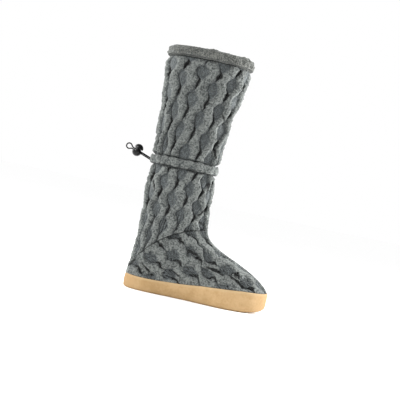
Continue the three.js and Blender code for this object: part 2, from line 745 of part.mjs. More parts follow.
function drawstringCasing() {
  const height = casingTop - casingBottom;
  const outside = casingProfile.map((row) => {
    const level = casingBottom + height * row.share;
    return levelRing(level, row.out, level);
  });
  const bore = shaftPlug(casingBottom - overcut, casingTop + overcut, clearance - cableHeight);
  const hole = new THREE.CylinderGeometry(cordHoleRadius, cordHoleRadius, cordHoleDepth, turnedPoints);
  hole.rotateZ(Math.PI / 2);
  hole.translate(overcut - cordHoleDepth / 2, 0, cordMiddle);
  cordFrame.updateMatrixWorld();
  hole.applyMatrix4(cordFrame.matrixWorld);
  return solidOf(geometryOfRings(outside)).subtract(bore).subtract(solidOf(hole));
}

function drawcord() {
  const route = cordRoute.map((row) => new THREE.Vector3(row.out, 0, row.up));
  const section = new THREE.Shape();
  for (let i = 0; i < cordSides; i += 1) {
    const angle = (2 * Math.PI * i) / cordSides;
    const place = [(cordDiameter / 2) * Math.cos(angle), (cordDiameter / 2) * Math.sin(angle)];
    if (i === 0) {
      section.moveTo(...place);
    } else {
      section.lineTo(...place);
    }
  }
  return new THREE.ExtrudeGeometry(section, {
    extrudePath: new THREE.CatmullRomCurve3(route), steps: cordSteps, curveSegments: 1,
  });
}

// Points of a ball's outline from one height to another, as radius and height
function ballOutline(radius, centre, from, to, steps) {
  const start = Math.asin(THREE.MathUtils.clamp((from - centre) / radius, -1, 1));
  const end = Math.asin(THREE.MathUtils.clamp((to - centre) / radius, -1, 1));
  const points = [];
  for (let i = 0; i <= steps; i += 1) {
    const angle = start + ((end - start) * i) / steps;
    points.push(new THREE.Vector2(radius * Math.cos(angle), centre + radius * Math.sin(angle)));
  }
  return points;
}

// A turned body about the lock's axis, with the slot that the cord runs through
function slottedBody(profile, slotTop) {
  const turned = new THREE.LatheGeometry(profile, turnedPoints);
  turned.rotateX(Math.PI / 2);
  const slot = new THREE.BoxGeometry(slotLength, slotWidth, slotTop - slotBottom);
  slot.translate(0, 0, (slotTop + slotBottom) / 2);
  return solidOf(turned).subtract(solidOf(slot));
}

function toggleBarrel() {
  const profile = [
    ...ballOutline(barrel.radius, barrel.centre, barrel.centre - barrel.radius, barrel.rim, 9),
    new THREE.Vector2(barrel.boreRadius, barrel.rim),
    new THREE.Vector2(barrel.boreRadius, barrel.boreFloor),
    new THREE.Vector2(0, barrel.boreFloor),
  ];
  profile[0].x = 0;
  return slottedBody(profile, barrelSlotTop);
}

function toggleButton() {
  const profile = [
    new THREE.Vector2(0, button.stemEnd),
    new THREE.Vector2(button.stemRadius, button.stemEnd),
    new THREE.Vector2(button.stemRadius, button.face),
    ...ballOutline(button.radius, button.centre, button.face, button.centre + button.radius, 7),
  ];
  profile[profile.length - 1].x = 0;
  return slottedBody(profile, buttonSlotTop);
}

const cordFrame = new THREE.Group();
cordFrame.position.set(cordExit.along - originFromHeel, 0, cordExit.height);
cordFrame.rotation.set(0, cordRise, Math.PI);
const lockFrame = new THREE.Group();
lockFrame.position.set(lockDistance, 0, 0);
cordFrame.add(lockFrame);

const materials = {
  knit: new THREE.MeshStandardMaterial({ color: 0x767d7d, roughness: 0.95, metalness: 0 }),
  suede: new THREE.MeshStandardMaterial({ color: 0xd6b27a, roughness: 0.9, metalness: 0 }),
  lining: new THREE.MeshStandardMaterial({ color: 0x8b8f8e, roughness: 1, metalness: 0 }),
  plastic: new THREE.MeshStandardMaterial({ color: 0x141516, roughness: 0.25, metalness: 0 }),
  cord: new THREE.MeshStandardMaterial({ color: 0x16181a, roughness: 0.8, metalness: 0 }),
};

const slipperSock = new THREE.Group();
slipperSock.add(cordFrame);

function addPiece(name, solid, material, group = slipperSock) {
  const geometry = solid.isBufferGeometry ? solid : geometryOf(solid);
  geometry.computeVertexNormals();
  const mesh = new THREE.Mesh(geometry, material);
  mesh.name = name;
  group.add(mesh);
}

addPiece("sole", sole(), materials.suede);
addPiece("insole", insole(), materials.lining);
addPiece("foot_upper", footUpper(), materials.knit);
addPiece("shaft", shaft(), materials.knit);
addPiece("rolled_cuff", rolledCuff(), materials.knit);
addPiece("drawstring_casing", drawstringCasing(), materials.knit);
addPiece("drawcord", drawcord(), materials.cord, cordFrame);
addPiece("toggle_barrel", toggleBarrel(), materials.plastic, lockFrame);
addPiece("toggle_button", toggleButton(), materials.plastic, lockFrame);

export default slipperSock;
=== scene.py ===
"""Slipper sock: a tall cable-knit boot with a drawstring and a suede-wrapped sole.

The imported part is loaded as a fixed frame, and each of its pieces is dressed with a fine surface:
knitted panels with swinging cables, a rolled cuff, a gathered casing, a napped suede sole, and an
elastic cord with its lock. Sizes are in millimetres and become metres when a mesh is made.
"""

import sys
import logging
import math
from dataclasses import dataclass
from enum import Enum
from itertools import product

import bmesh
import bpy
import numpy as np
from mathutils import Matrix, Vector


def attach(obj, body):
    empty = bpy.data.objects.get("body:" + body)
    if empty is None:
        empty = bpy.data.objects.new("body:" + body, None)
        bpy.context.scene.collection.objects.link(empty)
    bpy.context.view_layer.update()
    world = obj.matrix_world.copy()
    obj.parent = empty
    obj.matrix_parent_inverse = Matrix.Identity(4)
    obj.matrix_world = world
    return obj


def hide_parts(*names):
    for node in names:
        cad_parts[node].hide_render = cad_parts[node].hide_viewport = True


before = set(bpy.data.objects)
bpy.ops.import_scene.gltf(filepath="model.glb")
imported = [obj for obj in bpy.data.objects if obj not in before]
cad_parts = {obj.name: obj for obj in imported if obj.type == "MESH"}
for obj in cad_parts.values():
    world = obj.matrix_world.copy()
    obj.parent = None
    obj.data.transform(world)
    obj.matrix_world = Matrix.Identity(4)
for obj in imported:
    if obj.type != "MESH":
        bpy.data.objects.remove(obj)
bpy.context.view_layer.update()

MM = 0.001
BODY = "boot"
log = logging.getLogger("slipper_sock")

Array = np.ndarray
Rgb = tuple[int, int, int]
Layers = tuple[tuple[float, int, float], ...]
SPECKLE_PRIMES = (73856093, 19349663, 83492791)


class Panel(Enum):
    """The three knitted panels of the upper."""

    FOOT = "foot"
    LOWER_SHAFT = "lower_shaft"
    UPPER_SHAFT = "upper_shaft"


def smooth(low: float, high: float, value: Array) -> Array:
    """Smooth step from 0 at low to 1 at high."""
    t = np.clip((np.asarray(value, float) - low) / (high - low), 0.0, 1.0)
    return t * t * (3.0 - 2.0 * t)


def bump(value: Array, centre: float, width: float) -> Array:
    """Soft bell of height 1 about a centre."""
    return np.exp(-(((np.asarray(value, float) - centre) / width) ** 2))


def speckle(points: Array, size: float, seed: int) -> Array:
    """Smooth random field.

    Args:
        points: Places, in millimetres, with the last axis of length 3.
        size: Distance over which the field changes, in millimetres.
        seed: Number that picks the field.

    Returns:
        A value from -1 to 1 for each place.
    """
    scaled = np.asarray(points, float) / size
    base = np.floor(scaled).astype(np.int64)
    part = scaled - base
    part = part * part * (3.0 - 2.0 * part)
    total = np.zeros(scaled.shape[:-1])
    for corner in product((0, 1), repeat=3):
        cell = base + np.array(corner)
        mixed = np.bitwise_xor.reduce(cell * SPECKLE_PRIMES, axis=-1)
        mixed = (mixed ^ (seed * 40503)) & 0x7FFFFFFF
        mixed = ((mixed ^ (mixed >> 13)) * 1274126177) & 0x7FFFFFFF
        value = ((mixed ^ (mixed >> 16)) & 0xFFFF) / 32767.5 - 1.0
        weight = np.prod(np.where(np.array(corner) == 1, part, 1.0 - part), axis=-1)
        total += value * weight
    return total


def chance(first: Array, second: Array) -> Array:
    """Repeatable random number from -0.5 to 0.5 for each pair of numbers."""
    return np.mod(np.sin(first * 12.9898 + second * 78.233) * 43758.5453, 1.0) - 0.5


def layered(points: Array, layers: Layers) -> Array:
    """Sum of random fields, each given by its size, its seed and its weight."""
    return sum(weight * speckle(points, size, seed) for size, seed, weight in layers)


class TableCurve:
    """Smooth curve through a table's rows."""

    def __init__(self, at: list[float], to: list[float]) -> None:
        """Keeps the rows and works out the slope at each."""
        self.at = np.asarray(at, float)
        self.to = np.asarray(to, float)
        count = len(self.at)
        before = np.maximum(np.arange(count) - 1, 0)
        after = np.minimum(np.arange(count) + 1, count - 1)
        self.slopes = (self.to[after] - self.to[before]) / (self.at[after] - self.at[before])

    def __call__(self, value: Array) -> Array:
        """Value of the curve, held at its ends."""
        value = np.asarray(value, float)
        i = np.searchsorted(self.at[1:-1], value, side="left")
        span = self.at[i + 1] - self.at[i]
        t = np.clip((value - self.at[i]) / span, 0.0, 1.0)
        t2, t3 = t * t, t * t * t
        rise = (2 * t3 - 3 * t2 + 1) * self.to[i] + (t3 - 2 * t2 + t) * span * self.slopes[i]
        return rise + (3 * t2 - 2 * t3) * self.to[i + 1] + (t3 - t2) * span * self.slopes[i + 1]


# Sole outline in plan: share of the length, outer edge, inner edge
SOLE_OUTLINE = [
    (0.00, 0, 0), (0.03, -20, 20), (0.08, -29, 29), (0.18, -34, 34), (0.30, -33.5, 32.5),
    (0.42, -34.5, 30), (0.55, -40, 34), (0.68, -45.5, 42), (0.78, -44.5, 44.5), (0.88, -36, 41),
    (0.95, -22.5, 31), (1.00, 5, 5),
]

# Top edge of the suede band: length along the foot, height
BAND_EDGE = [
    (0, 24), (45, 23.5), (80, 25), (108, 27), (135, 30.5), (175, 34.5), (210, 37), (255, 38),
]

# Back of the heel and shaft: height, length along the foot
HEEL_LINE = [
    (0, 0), (26, 0), (45, 2.5), (70, 5.5), (100, 6.8), (140, 6), (165, 4.5), (191, 3), (205, 4.6),
    (214, 6.8), (222, 4.8), (238, 3.6), (250, 3.8), (288, 2.5), (322, 1.8), (358, -1.5),
    (393, -5.5), (415, -5),
]

# Sections of the upper, from toe to collar: length and height of the front point, seat (a height
# up the heel line, or negative, a length along the sole), arch, half width, and where it is widest
SECTIONS = [
    (255.0, 33.0, -255.0, 0, 2, 0.98), (253.8, 38.0, -253.8, 0, 9, 0.93),
    (250.5, 43.0, -250.5, 0, 17, 0.83), (245.5, 48.0, -245.0, 0, 25, 0.74),
    (238.0, 54.0, -237.0, 0, 32, 0.66), (228.0, 61.0, -226.0, 0, 38, 0.58),
    (216.0, 68.0, -212.0, 0, 42, 0.52), (203.0, 74.5, -196.0, 0, 44, 0.47),
    (189.0, 81.0, -178.0, 0, 43.5, 0.43), (174.5, 87.0, -158.0, 1, 41, 0.40),
    (161.0, 93.0, -135.0, 2, 39, 0.38), (149.5, 99.0, -110.0, 4, 37.5, 0.38),
    (140.5, 105.0, -82.0, 7, 37, 0.38), (134.0, 111.0, -53.0, 11, 37, 0.38),
    (130.0, 117.0, -24.0, 15, 37, 0.40), (128.2, 121.5, 10.0, 18.5, 37, 0.43),
    (127.2, 126.0, 34.0, 20, 37, 0.45), (126.0, 134.0, 60.0, 17, 37.5, 0.47),
    (125.0, 143.0, 86.0, 13, 38, 0.48), (124.0, 154.0, 112.0, 9, 38.5, 0.49),
    (123.0, 166.0, 138.0, 5, 38.5, 0.5), (122.0, 178.0, 165.0, 2, 38.5, 0.5),
    (121.5, 191.0, 189.0, 0, 38.5, 0.5), (120.6, 205.0, 205.0, 0, 38, 0.5),
    (119.6, 214.0, 214.0, 0, 37.5, 0.5), (121.0, 222.0, 222.0, 0, 38, 0.5),
    (121.8, 238.0, 238.0, 0, 38.5, 0.5), (122.8, 250.0, 250.0, 0, 39.5, 0.5),
    (126.8, 288.0, 288.0, 0, 41.5, 0.5), (131.0, 322.0, 322.0, 0, 44, 0.5),
    (137.0, 358.0, 358.0, 0, 47, 0.5), (143.5, 393.0, 393.0, 0, 50, 0.5),
    (146.0, 415.0, 415.0, 0, 51, 0.5),
]


@dataclass
class Last:
    """The last that the boot is built on: its outline, its sections and the band's edge."""

    sole_length: float = 255.0
    roundness: float = 2.3
    band_blend: float = 28.0
    girth_flatness: float = 0.364
    heel_shift: tuple[float, float] = (10.0, 60.0)
    ankle_seam_row: int = 16
    samples: int = 150

    def __post_init__(self) -> None:
        """Draws the curves through the tables."""
        shares = [row[0] for row in SOLE_OUTLINE]
        angles = [math.acos(1 - 2 * share) for share in shares]
        self.outer = TableCurve(angles, [row[1] for row in SOLE_OUTLINE])
        self.inner = TableCurve(angles, [row[2] for row in SOLE_OUTLINE])
        self.band_top = TableCurve(*zip(*BAND_EDGE))
        self.heel = TableCurve(*zip(*HEEL_LINE))
        numbers = list(range(len(SECTIONS)))
        self.columns = [TableCurve(numbers, [row[c] for row in SECTIONS]) for c in range(6)]
        upper = SECTIONS[self.ankle_seam_row:]
        self.shin = TableCurve([row[1] for row in upper], [row[0] for row in upper])
        foot = SECTIONS[self.ankle_seam_row::-1]
        self.vamp = TableCurve([row[0] for row in foot], [row[1] for row in foot])
        level = [(row[2], n) for n, row in enumerate(SECTIONS) if row[1] == row[2]]
        self.number_at = TableCurve(*zip(*level))

    def in_frame(self, places: Array) -> Array:
        """Places moved so that lengths run from the frame's origin, not from the heel."""
        return places - np.array([self.sole_length / 2, 0, 0])

    def edges(self, along: Array) -> tuple[Array, Array]:
        """Outer and inner edge of the sole at a length along the foot."""
        share = np.clip(np.asarray(along, float) / self.sole_length, 0.0, 1.0)
        angle = np.arccos(1 - 2 * share)
        return self.outer(angle), self.inner(angle)

    def points(self, number: Array, share: Array, side: int) -> Array:
        """Points of sections.

        Args:
            number: Section numbers.
            share: Shares of the way from seat to front.
            side: -1 for the outer side of the foot, 1 for the inner side.

        Returns:
            Places as length along the foot, width and height.
        """
        front, rise, seat, bow, half, widest = (curve(number) for curve in self.columns)
        seat_along = np.where(seat < 0, -seat, self.heel(seat))
        seat_height = np.maximum(seat, 0)
        dx, dz = front - seat_along, rise - seat_height
        length = np.hypot(dx, dz)
        arch = bow * 4 * share * (1 - share)
        along = seat_along + dx * share - dz / length * arch
        height = seat_height + dz * share + dx / length * arch
        forward = np.clip((share - widest) / (1 - widest), 0, 1)
        backward = np.clip((widest - share) / widest, 0, 1)
        toward_front = (1 - forward**self.roundness) ** (1 / self.roundness)
        toward_seat = (1 - backward**self.roundness) ** (1 / self.roundness)
        edge = self.band_top(along)
        free = smooth(0, 1, (height - edge) / self.band_blend)
        moved = along - self.heel(height) * (1 - smooth(*self.heel_shift, along))
        outer, inner = self.edges(moved)
        centre = np.where(free >= 1, 0, (outer + inner) / 2)
        middle = centre * (1 - smooth(0, 1, (height - edge) / (3 * self.band_blend)))
        sole_half = middle - outer if side < 0 else inner - middle
        width = (1 - free) * sole_half + free * half * toward_seat
        return np.stack([along, middle + side * width * toward_front, height], axis=-1)

    def half_lines(self, numbers: Array) -> list[tuple[Array, Array]]:
        """Each section's line from seat to front, outer side, and back, inner side."""
        share = 0.5 - 0.5 * np.cos(np.pi * np.arange(self.samples + 1) / self.samples)
        outer, inner = (self.points(numbers[:, None], share[None, :], side) for side in (-1, 1))
        return list(zip(outer, inner[:, ::-1]))

    def even_numbers(self, start: float, end: float, rows: int) -> Array:
        """Section numbers that are evenly spaced along the foot and up the shaft."""
        fine = np.linspace(start, end, 600)
        front, rise, seat, _, half, _ = (curve(fine) for curve in self.columns)
        seat_along = np.where(seat < 0, -seat, self.heel(seat))
        steps = 0.5 * (
            np.hypot(np.diff(front), np.diff(rise))
            + np.hypot(np.diff(seat_along), np.diff(np.maximum(seat, 0)))
        )
        run = np.concatenate([[0], np.cumsum(np.hypot(steps, np.diff(half)))])
        return np.interp(np.linspace(0, run[-1], rows + 1), run, fine)


def run_along(line: Array) -> Array:
    """Distance along the lines of points that run down the first axis."""
    steps = np.linalg.norm(np.diff(line, axis=0), axis=-1)
    return np.concatenate([np.zeros_like(steps[:1]), np.cumsum(steps, axis=0)])


def resample(line: Array, count: int) -> Array:
    """Points evenly spaced along a line, both ends kept."""
    run = run_along(line)
    target = np.linspace(0, run[-1], count + 1)
    return np.stack([np.interp(target, run, axis) for axis in line.T], axis=-1)


def closed_ring(there: Array, back: Array, count: int) -> Array:
    """Evenly spaced ring made of two lines that meet at both ends."""
    return np.concatenate([resample(line, count // 2)[:-1] for line in (there, back)])


def softened(line: Array, times: int) -> Array:
    """A closed line with its corners eased."""
    for _ in range(times):
        line = 0.5 * line + 0.25 * (np.roll(line, 1, axis=0) + np.roll(line, -1, axis=0))
    return line


def unit(vectors: Array) -> Array:
    """Vectors brought to length 1."""
    return vectors / np.maximum(np.linalg.norm(vectors, axis=-1, keepdims=True), 1e-9)


def level_normals(ring: Array) -> Array:
    """Level outward directions round a ring that starts at the heel, outer side first."""
    around = np.roll(ring, -1, axis=0) - np.roll(ring, 1, axis=0)
    return unit(np.stack([around[:, 1], -around[:, 0], 0 * around[:, 0]], axis=-1))


def grid_normals(grid: Array, closed: bool) -> Array:
    """Outward normals of a grid of points, rows first, closed round or open at the sides."""
    along = np.gradient(grid, axis=0)
    if closed:
        around = np.roll(grid, -1, axis=1) - np.roll(grid, 1, axis=1)
    else:
        around = np.gradient(grid, axis=1)
    return unit(np.cross(around, along))


@dataclass
class CablePattern:
    """The cables of one knitted panel: ridges that swing together and apart round dark cells."""

    start: float
    pitch: float
    spacing: float
    stretch: float = 0.0
    slope: float = 0.0
    level: float = 0.0
    shift: float = 0.0
    drift: float = 0.0
    lean: float = 0.045
    cell_half: float = 9.2
    cell_above: float = 0.27
    cell_below: float = 0.34
    uneven: float = 0.36
    next_cell: float = 0.6
    cell_jog: float = 0.25
    above_shape: tuple[float, float] = (1.7, 0.8)
    below_shape: tuple[float, float] = (1.4, 0.9)
    slit_width: float = 2.6
    slit_dark: float = 1.0
    slit_offset: float = 0.3
    slit_thin: float = 0.4
    slit_swell: float = 0.85
    slit_middle: tuple[float, float] = (0.44, 0.15)
    slit_starts: tuple = ((0.4, -0.24, -0.08), (0.6, 0.1, 0.32))
    slit_end: tuple[float, float] = (0.52, 0.74)
    slit_cut: float = 0.76
    wander: float = 0.05
    columns_round: int = 14
    column_spread: float = 0.09
    shaft_middle: float = 65.0
    drift_hold: tuple[float, float] = (0.02, 0.2)
    seam: tuple[float, float] = (127.2, 126.0)
    foot_slope: float = math.radians(30)
    crown_radius: float = 44.0

    def on_shaft(self, last: Last, points: Array) -> tuple[Array, Array]:
        """Column and phase of places on the shaft."""
        x, y, z = points[..., 0], points[..., 1], points[..., 2]
        back = last.heel(z)
        t = np.clip((x - back) / (last.shin(z) - back), 0, 1)
        flat = last.girth_flatness
        share = (flat * t + (1 - flat) * np.arccos(1 - 2 * t) / np.pi) / 2
        girth = np.where(y < 0, share, 1 - share)
        hold = smooth(*self.drift_hold, np.minimum(girth, 1 - girth))
        spread = self.column_spread * (np.cos(2 * np.pi * girth) - 1) / (2 * np.pi)
        column = self.columns_round * (girth + spread) + self.shift
        column = column + self.drift * (self.level - z) * hold
        drop = self.start - z - self.slope * (x - self.shaft_middle)
        root = np.sqrt(np.maximum(self.pitch**2 + 4 * self.stretch * drop, 1))
        return column, (root - self.pitch) / (2 * self.stretch)

    def on_foot(self, last: Last, points: Array) -> tuple[Array, Array]:
        """Column and phase of places on the foot panel."""
        x, y, z = points[..., 0], points[..., 1], points[..., 2]
        ahead = x - self.seam[0]
        slope = self.foot_slope
        run = ahead * math.cos(slope) - (z - self.seam[1]) * math.sin(slope)
        crown = np.where(ahead > 0, last.vamp(x), self.seam[1] - ahead * math.tan(slope))
        below = np.maximum((crown - z) * math.cos(slope), 0)
        turn = np.arctan2(np.abs(y), np.maximum(self.crown_radius - below, 0))
        across = self.crown_radius * turn + np.maximum(below - self.crown_radius, 0)
        return np.sign(y) * across / self.spacing - 0.5, (run - self.start) / self.pitch

    def gap(self, boundary: Array, phase: Array) -> tuple[Array, Array, Array]:
        """The gap between two ridges: its left edge, its right edge and its turn from a cell."""
        phase = phase - 0.5 * (1 - np.mod(boundary, 2))
        knot = np.floor(phase + 1 - self.next_cell)
        odds = self.uneven * chance(boundary, knot)
        turn = np.mod(phase, 1.0)
        from_cell = np.where(turn > self.next_cell, turn - 1, turn) - self.cell_jog * odds
        above = np.clip(-from_cell / self.cell_above, 0, 1)
        below = np.clip(from_cell / self.cell_below, 0, 1)
        half = self.cell_half / self.spacing * (1 + odds)
        for part, (bend, swell) in ((above, self.above_shape), (below, self.below_shape)):
            half = half * (1 - part**bend) ** swell
        middle = boundary + self.lean * np.sin(2 * np.pi * turn)
        return middle - half, middle + half, turn

    def relief(self, column: Array, phase: Array) -> tuple[Array, Array]:
        """Form of the knit at a column and phase.

        Returns:
            The ridges' height from 0 to 1, and the depth of the crevices beside them from 0 to 1, which
            also sets their painted shade.
        """
        height, crevice_shade = np.zeros((2,) + column.shape)
        for step in (-1, 0, 1):
            ridge = np.floor(column) + step
            _, left, _ = self.gap(ridge, phase)
            right, _, turn = self.gap(ridge + 1, phase)
            part = (2 * column - left - right) / np.maximum(right - left, 0.2)
            height = np.maximum(height, np.maximum(1 - part**2, 0) ** 0.75)
            # Slits along each cell's edge: the mask deepens the knit and sets near-black painted shade in
            # the slits.
            past = np.where(turn > self.slit_cut, turn - 1, turn)
            width = self.slit_width * (self.slit_thin + self.slit_swell * bump(past, *self.slit_middle))
            line = bump((column - right) * self.spacing, self.slit_offset, width)
            along = sum(share * smooth(low, high, past) for share, low, high in self.slit_starts)
            along = along * (1 - smooth(*self.slit_end, past))
            crevice_shade = np.maximum(crevice_shade, line * along * self.slit_dark)
        return height, crevice_shade


UPPER_CABLES = CablePattern(
    start=390, pitch=46, spacing=26.5, stretch=4, slope=0.16, level=345, shift=0.24, drift=0.0065
)
LOWER_CABLES = CablePattern(
    start=214, pitch=47, spacing=26.5, stretch=0.5, slope=0.1, level=165, shift=0.12, drift=0.008
)
FOOT_CABLES = CablePattern(
    start=1.5, pitch=43, spacing=28, slit_dark=0.85, slit_width=2.8, uneven=0.5, wander=0.09
)


# Creases of each panel: side (-1 outer, 1 inner, 0 both), then the length and height of the two
# ends, the depth and the width
CREASES = {
    Panel.FOOT: [
        (-1, (138, 65), (168, 60), 4.0, 4.4), (-1, (178, 60), (213, 42), 4.2, 4.4),
        (-1, (98, 88), (120, 82), 2.8, 3.8), (-1, (24, 50), (46, 34), 2.6, 3.4),
        (-1, (76, 46), (98, 38), 2.6, 3.4), (1, (150, 82), (168, 64), 2.8, 3.8),
        (1, (186, 66), (202, 50), 2.8, 3.6), (1, (218, 54), (234, 41), 2.4, 3.4),
        (1, (34, 50), (50, 36), 2.2, 3.2), (1, (96, 60), (112, 48), 1.8, 3.2),
        (0, (120, 118), (134, 106), 1.8, 4.5),
    ],
    Panel.LOWER_SHAFT: [
        (-1, (114, 209), (111, 180), 3.0, 4.0), (-1, (104, 146), (121, 167), 2.6, 4.2),
        (-1, (15, 197), (23, 172), 2.6, 3.4), (-1, (20, 128), (36, 110), 1.6, 3.6),
        (1, (113, 206), (109, 184), 2.6, 4.0), (1, (98, 150), (120, 162), 2.4, 4.2),
        (1, (16, 190), (26, 168), 2.4, 3.4), (1, (40, 132), (66, 118), 1.6, 4.0),
        (0, (108, 138), (124, 134), 1.8, 4.0),
    ],
    Panel.UPPER_SHAFT: [
        (-1, (20, 278), (26, 248), 2.0, 3.6), (-1, (106, 276), (116, 250), 2.2, 3.8),
        (-1, (110, 330), (120, 306), 1.8, 3.6), (1, (24, 270), (32, 246), 2.0, 3.6),
        (1, (104, 272), (112, 248), 2.2, 3.8),
    ],
}


def add_object(name: str, data: bpy.types.ID) -> bpy.types.Object:
    """Makes an object of a mesh, a light or a camera and links it to the scene."""
    made = bpy.data.objects.new(name, data)
    bpy.context.scene.collection.objects.link(made)
    return made


def mesh_object(
    name: str, vertices: Array, faces: list[Array], uv: list[Array], values: dict[str, Array]
) -> bpy.types.Object:
    """Makes a smooth shaded mesh object.

    Args:
        name: The object's name.
        vertices: Places in millimetres, from the origin of the frame.
        faces: Arrays of vertex numbers, one row a face.
        uv: Fabric coordinates of the corners, one array for each array of faces.
        values: Named numbers, one for each vertex.

    Returns:
        The object, linked to the scene.
    """
    mesh = bpy.data.meshes.new(name)
    sizes = np.concatenate([np.full(len(part), part.shape[1]) for part in faces])
    corners = np.concatenate([part.reshape(-1) for part in faces])
    starts = np.concatenate([[0], np.cumsum(sizes)[:-1]])
    mesh.vertices.add(len(vertices))
    mesh.vertices.foreach_set("co", (vertices * MM).astype(np.float32).reshape(-1))
    mesh.loops.add(len(corners))
    mesh.loops.foreach_set("vertex_index", corners.astype(np.int32))
    mesh.polygons.add(len(sizes))
    mesh.polygons.foreach_set("loop_start", starts.astype(np.int32))
    mesh.polygons.foreach_set("use_smooth", np.ones(len(sizes), bool))
    flat = np.concatenate([part.reshape(-1) for part in uv])
    mesh.uv_layers.new(name="fabric").data.foreach_set("uv", flat.astype(np.float32))
    for key, value in values.items():
        attribute = mesh.attributes.new(key, "FLOAT", "POINT")
        attribute.data.foreach_set("value", value.astype(np.float32).reshape(-1))
    mesh.update(calc_edges=True)
    mesh.validate()
    return add_object(name, mesh)


def loop_object(
    name: str, grid: Array, values: dict[str, Array], fabric: Array | None = None,
    ends: bool = False,
) -> bpy.types.Object:
    """Makes an object from closed loops of points.

    Args:
        name: The object's name.
        grid: Loops of points, one row a loop, running so that their faces look outward.
        values: Named numbers for the points.
        fabric: Fabric coordinates, with one more column than the points.
        ends: True where the last loop joins the first, so that the rows close too.

    Returns:
        The object. Where the rows don't close, its two end loops are filled.
    """
    rows, count = grid.shape[:2]
    index = np.arange(rows * count).reshape(rows, count)
    if fabric is None:
        fabric = np.zeros((rows, count + 1, 2))

    def corners(table: Array) -> Array:
        """The table's values at the four corners of each face."""
        upper = np.roll(table, -1, axis=0) if ends else table[1:]
        lower = table if ends else table[:-1]
        return np.stack([lower[:, :-1], lower[:, 1:], upper[:, 1:], upper[:, :-1]], axis=2)

    faces = [corners(np.concatenate([index, index[:, :1]], axis=1)).reshape(-1, 4)]
    corner_uv = [corners(fabric).reshape(-1, 4, 2)]
    k = np.arange(count // 2)
    caps = () if ends else ((index[0], -1), (index[-1], 1))
    for line, step in caps:
        cap = np.stack([line[k], line[k + 1], line[count - k - 1], line[(count - k) % count]], axis=-1)
        faces.append(cap[:, ::step])
        corner_uv.append(np.zeros((len(cap), 4, 2)))
    return mesh_object(name, grid.reshape(-1, 3), faces, corner_uv, values)


def finish_piece(
    piece: bpy.types.Object, node: str, material: bpy.types.Material, body: str = BODY
) -> bpy.types.Object:
    """Gives a piece its material and its body, and hides the imported node that it stands for."""
    piece.data.materials.append(material)
    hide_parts(node)
    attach(piece, body)
    return piece


class Nodes:
    """Short way to add and join shader nodes in one tree."""

    def __init__(self, tree: bpy.types.NodeTree) -> None:
        """Keeps the tree."""
        self.tree = tree

    def add(self, kind: str, settings: dict | None = None, **inputs) -> bpy.types.Node:
        """Adds a node.

        Args:
            kind: The node's type, without its ShaderNode prefix.
            settings: Values of the node's own properties.
            inputs: Values or output sockets for inputs, by name with _ for spaces, or in{number}.

        Returns:
            The node.
        """
        name = kind if kind.startswith("NodeGroup") else "ShaderNode" + kind
        node = self.tree.nodes.new(name)
        for key, value in (settings or {}).items():
            setattr(node, key, value)
        for key, value in inputs.items():
            spot = int(key[2:]) if key[:2] == "in" and key[2:].isdigit() else key.replace("_", " ")
            self.put(node, spot, value)
        return node

    def put(self, node: bpy.types.Node, spot: str | int, value: object) -> None:
        """Sets an input, or joins an output socket to it."""
        socket = node.inputs[spot]
        if isinstance(value, bpy.types.NodeSocket):
            self.tree.links.new(value, socket)
        else:
            socket.default_value = value

    def math(self, operation: str, *values: object) -> bpy.types.NodeSocket:
        """Result of a math node."""
        inputs = {f"in{i}": value for i, value in enumerate(values)}
        return self.add("Math", {"operation": operation}, **inputs).outputs[0]

    def range(self, value: object, low: float, high: float, to_low: float = 0.0,
              to_high: float = 1.0) -> bpy.types.NodeSocket:
        """A value moved smoothly from one range to another, held at its ends."""
        node = self.add(
            "MapRange", {"interpolation_type": "SMOOTHSTEP"},
            in0=value, in1=low, in2=high, in3=to_low, in4=to_high,
        )
        return node.outputs[0]

    def mix(self, share: object, first: object, second: object) -> bpy.types.NodeSocket:
        """Two colours mixed by a share."""
        node = self.add("Mix", {"data_type": "RGBA"})
        self.put(node, 0, share)
        self.put(node, 6, first)
        self.put(node, 7, second)
        return node.outputs[2]

    def value(self, name: str) -> bpy.types.NodeSocket:
        """Named number of the mesh."""
        return self.add("Attribute", {"attribute_name": name}).outputs["Fac"]

    def noise(self, scale: object, detail: float, roughness: float = 0.5) -> bpy.types.NodeSocket:
        """Noise over the object's own places."""
        place = self.add("TexCoord").outputs["Object"]
        node = self.add("TexNoise", Vector=place, Scale=scale, Detail=detail, Roughness=roughness)
        return node.outputs[0]

    def group(self, tree: bpy.types.NodeTree, **inputs) -> bpy.types.bpy_prop_collection:
        """Outputs of a shared group, with its colours given from 0 to 255."""
        for key, value in inputs.items():
            inputs[key] = srgb(*value) if isinstance(value, tuple) else value
        return self.add("Group", {"node_tree": tree}, **inputs).outputs

    def bump(self, strength: float, distance: float, height: object,
             **below: bpy.types.NodeSocket) -> bpy.types.NodeSocket:
        """Normal of a raised surface, laid over another one where it is given."""
        node = self.add("Bump", Strength=strength, Distance=distance, Height=height, **below)
        return node.outputs[0]


def new_group(
    name: str, inputs: dict[str, tuple[str, object]], outputs: dict[str, str]
) -> tuple[bpy.types.NodeTree, Nodes, bpy.types.Node, bpy.types.Node]:
    """Starts a shader node group.

    Args:
        name: The group's name.
        inputs: Socket type and first value of each input, by name.
        outputs: Socket type of each output, by name.

    Returns:
        The group, its node helper, its input node and its output node.
    """
    group = bpy.data.node_groups.new(name, "ShaderNodeTree")
    for key, (kind, first) in inputs.items():
        socket = group.interface.new_socket(key, in_out="INPUT", socket_type=kind)
        if first is not None:
            socket.default_value = first
    for key, kind in outputs.items():
        group.interface.new_socket(key, in_out="OUTPUT", socket_type=kind)
    nodes = Nodes(group)
    return group, nodes, nodes.add("NodeGroupInput"), nodes.add("NodeGroupOutput")


FLOAT = "NodeSocketFloat"
COLOUR = "NodeSocketColor"
VECTOR = "NodeSocketVector"


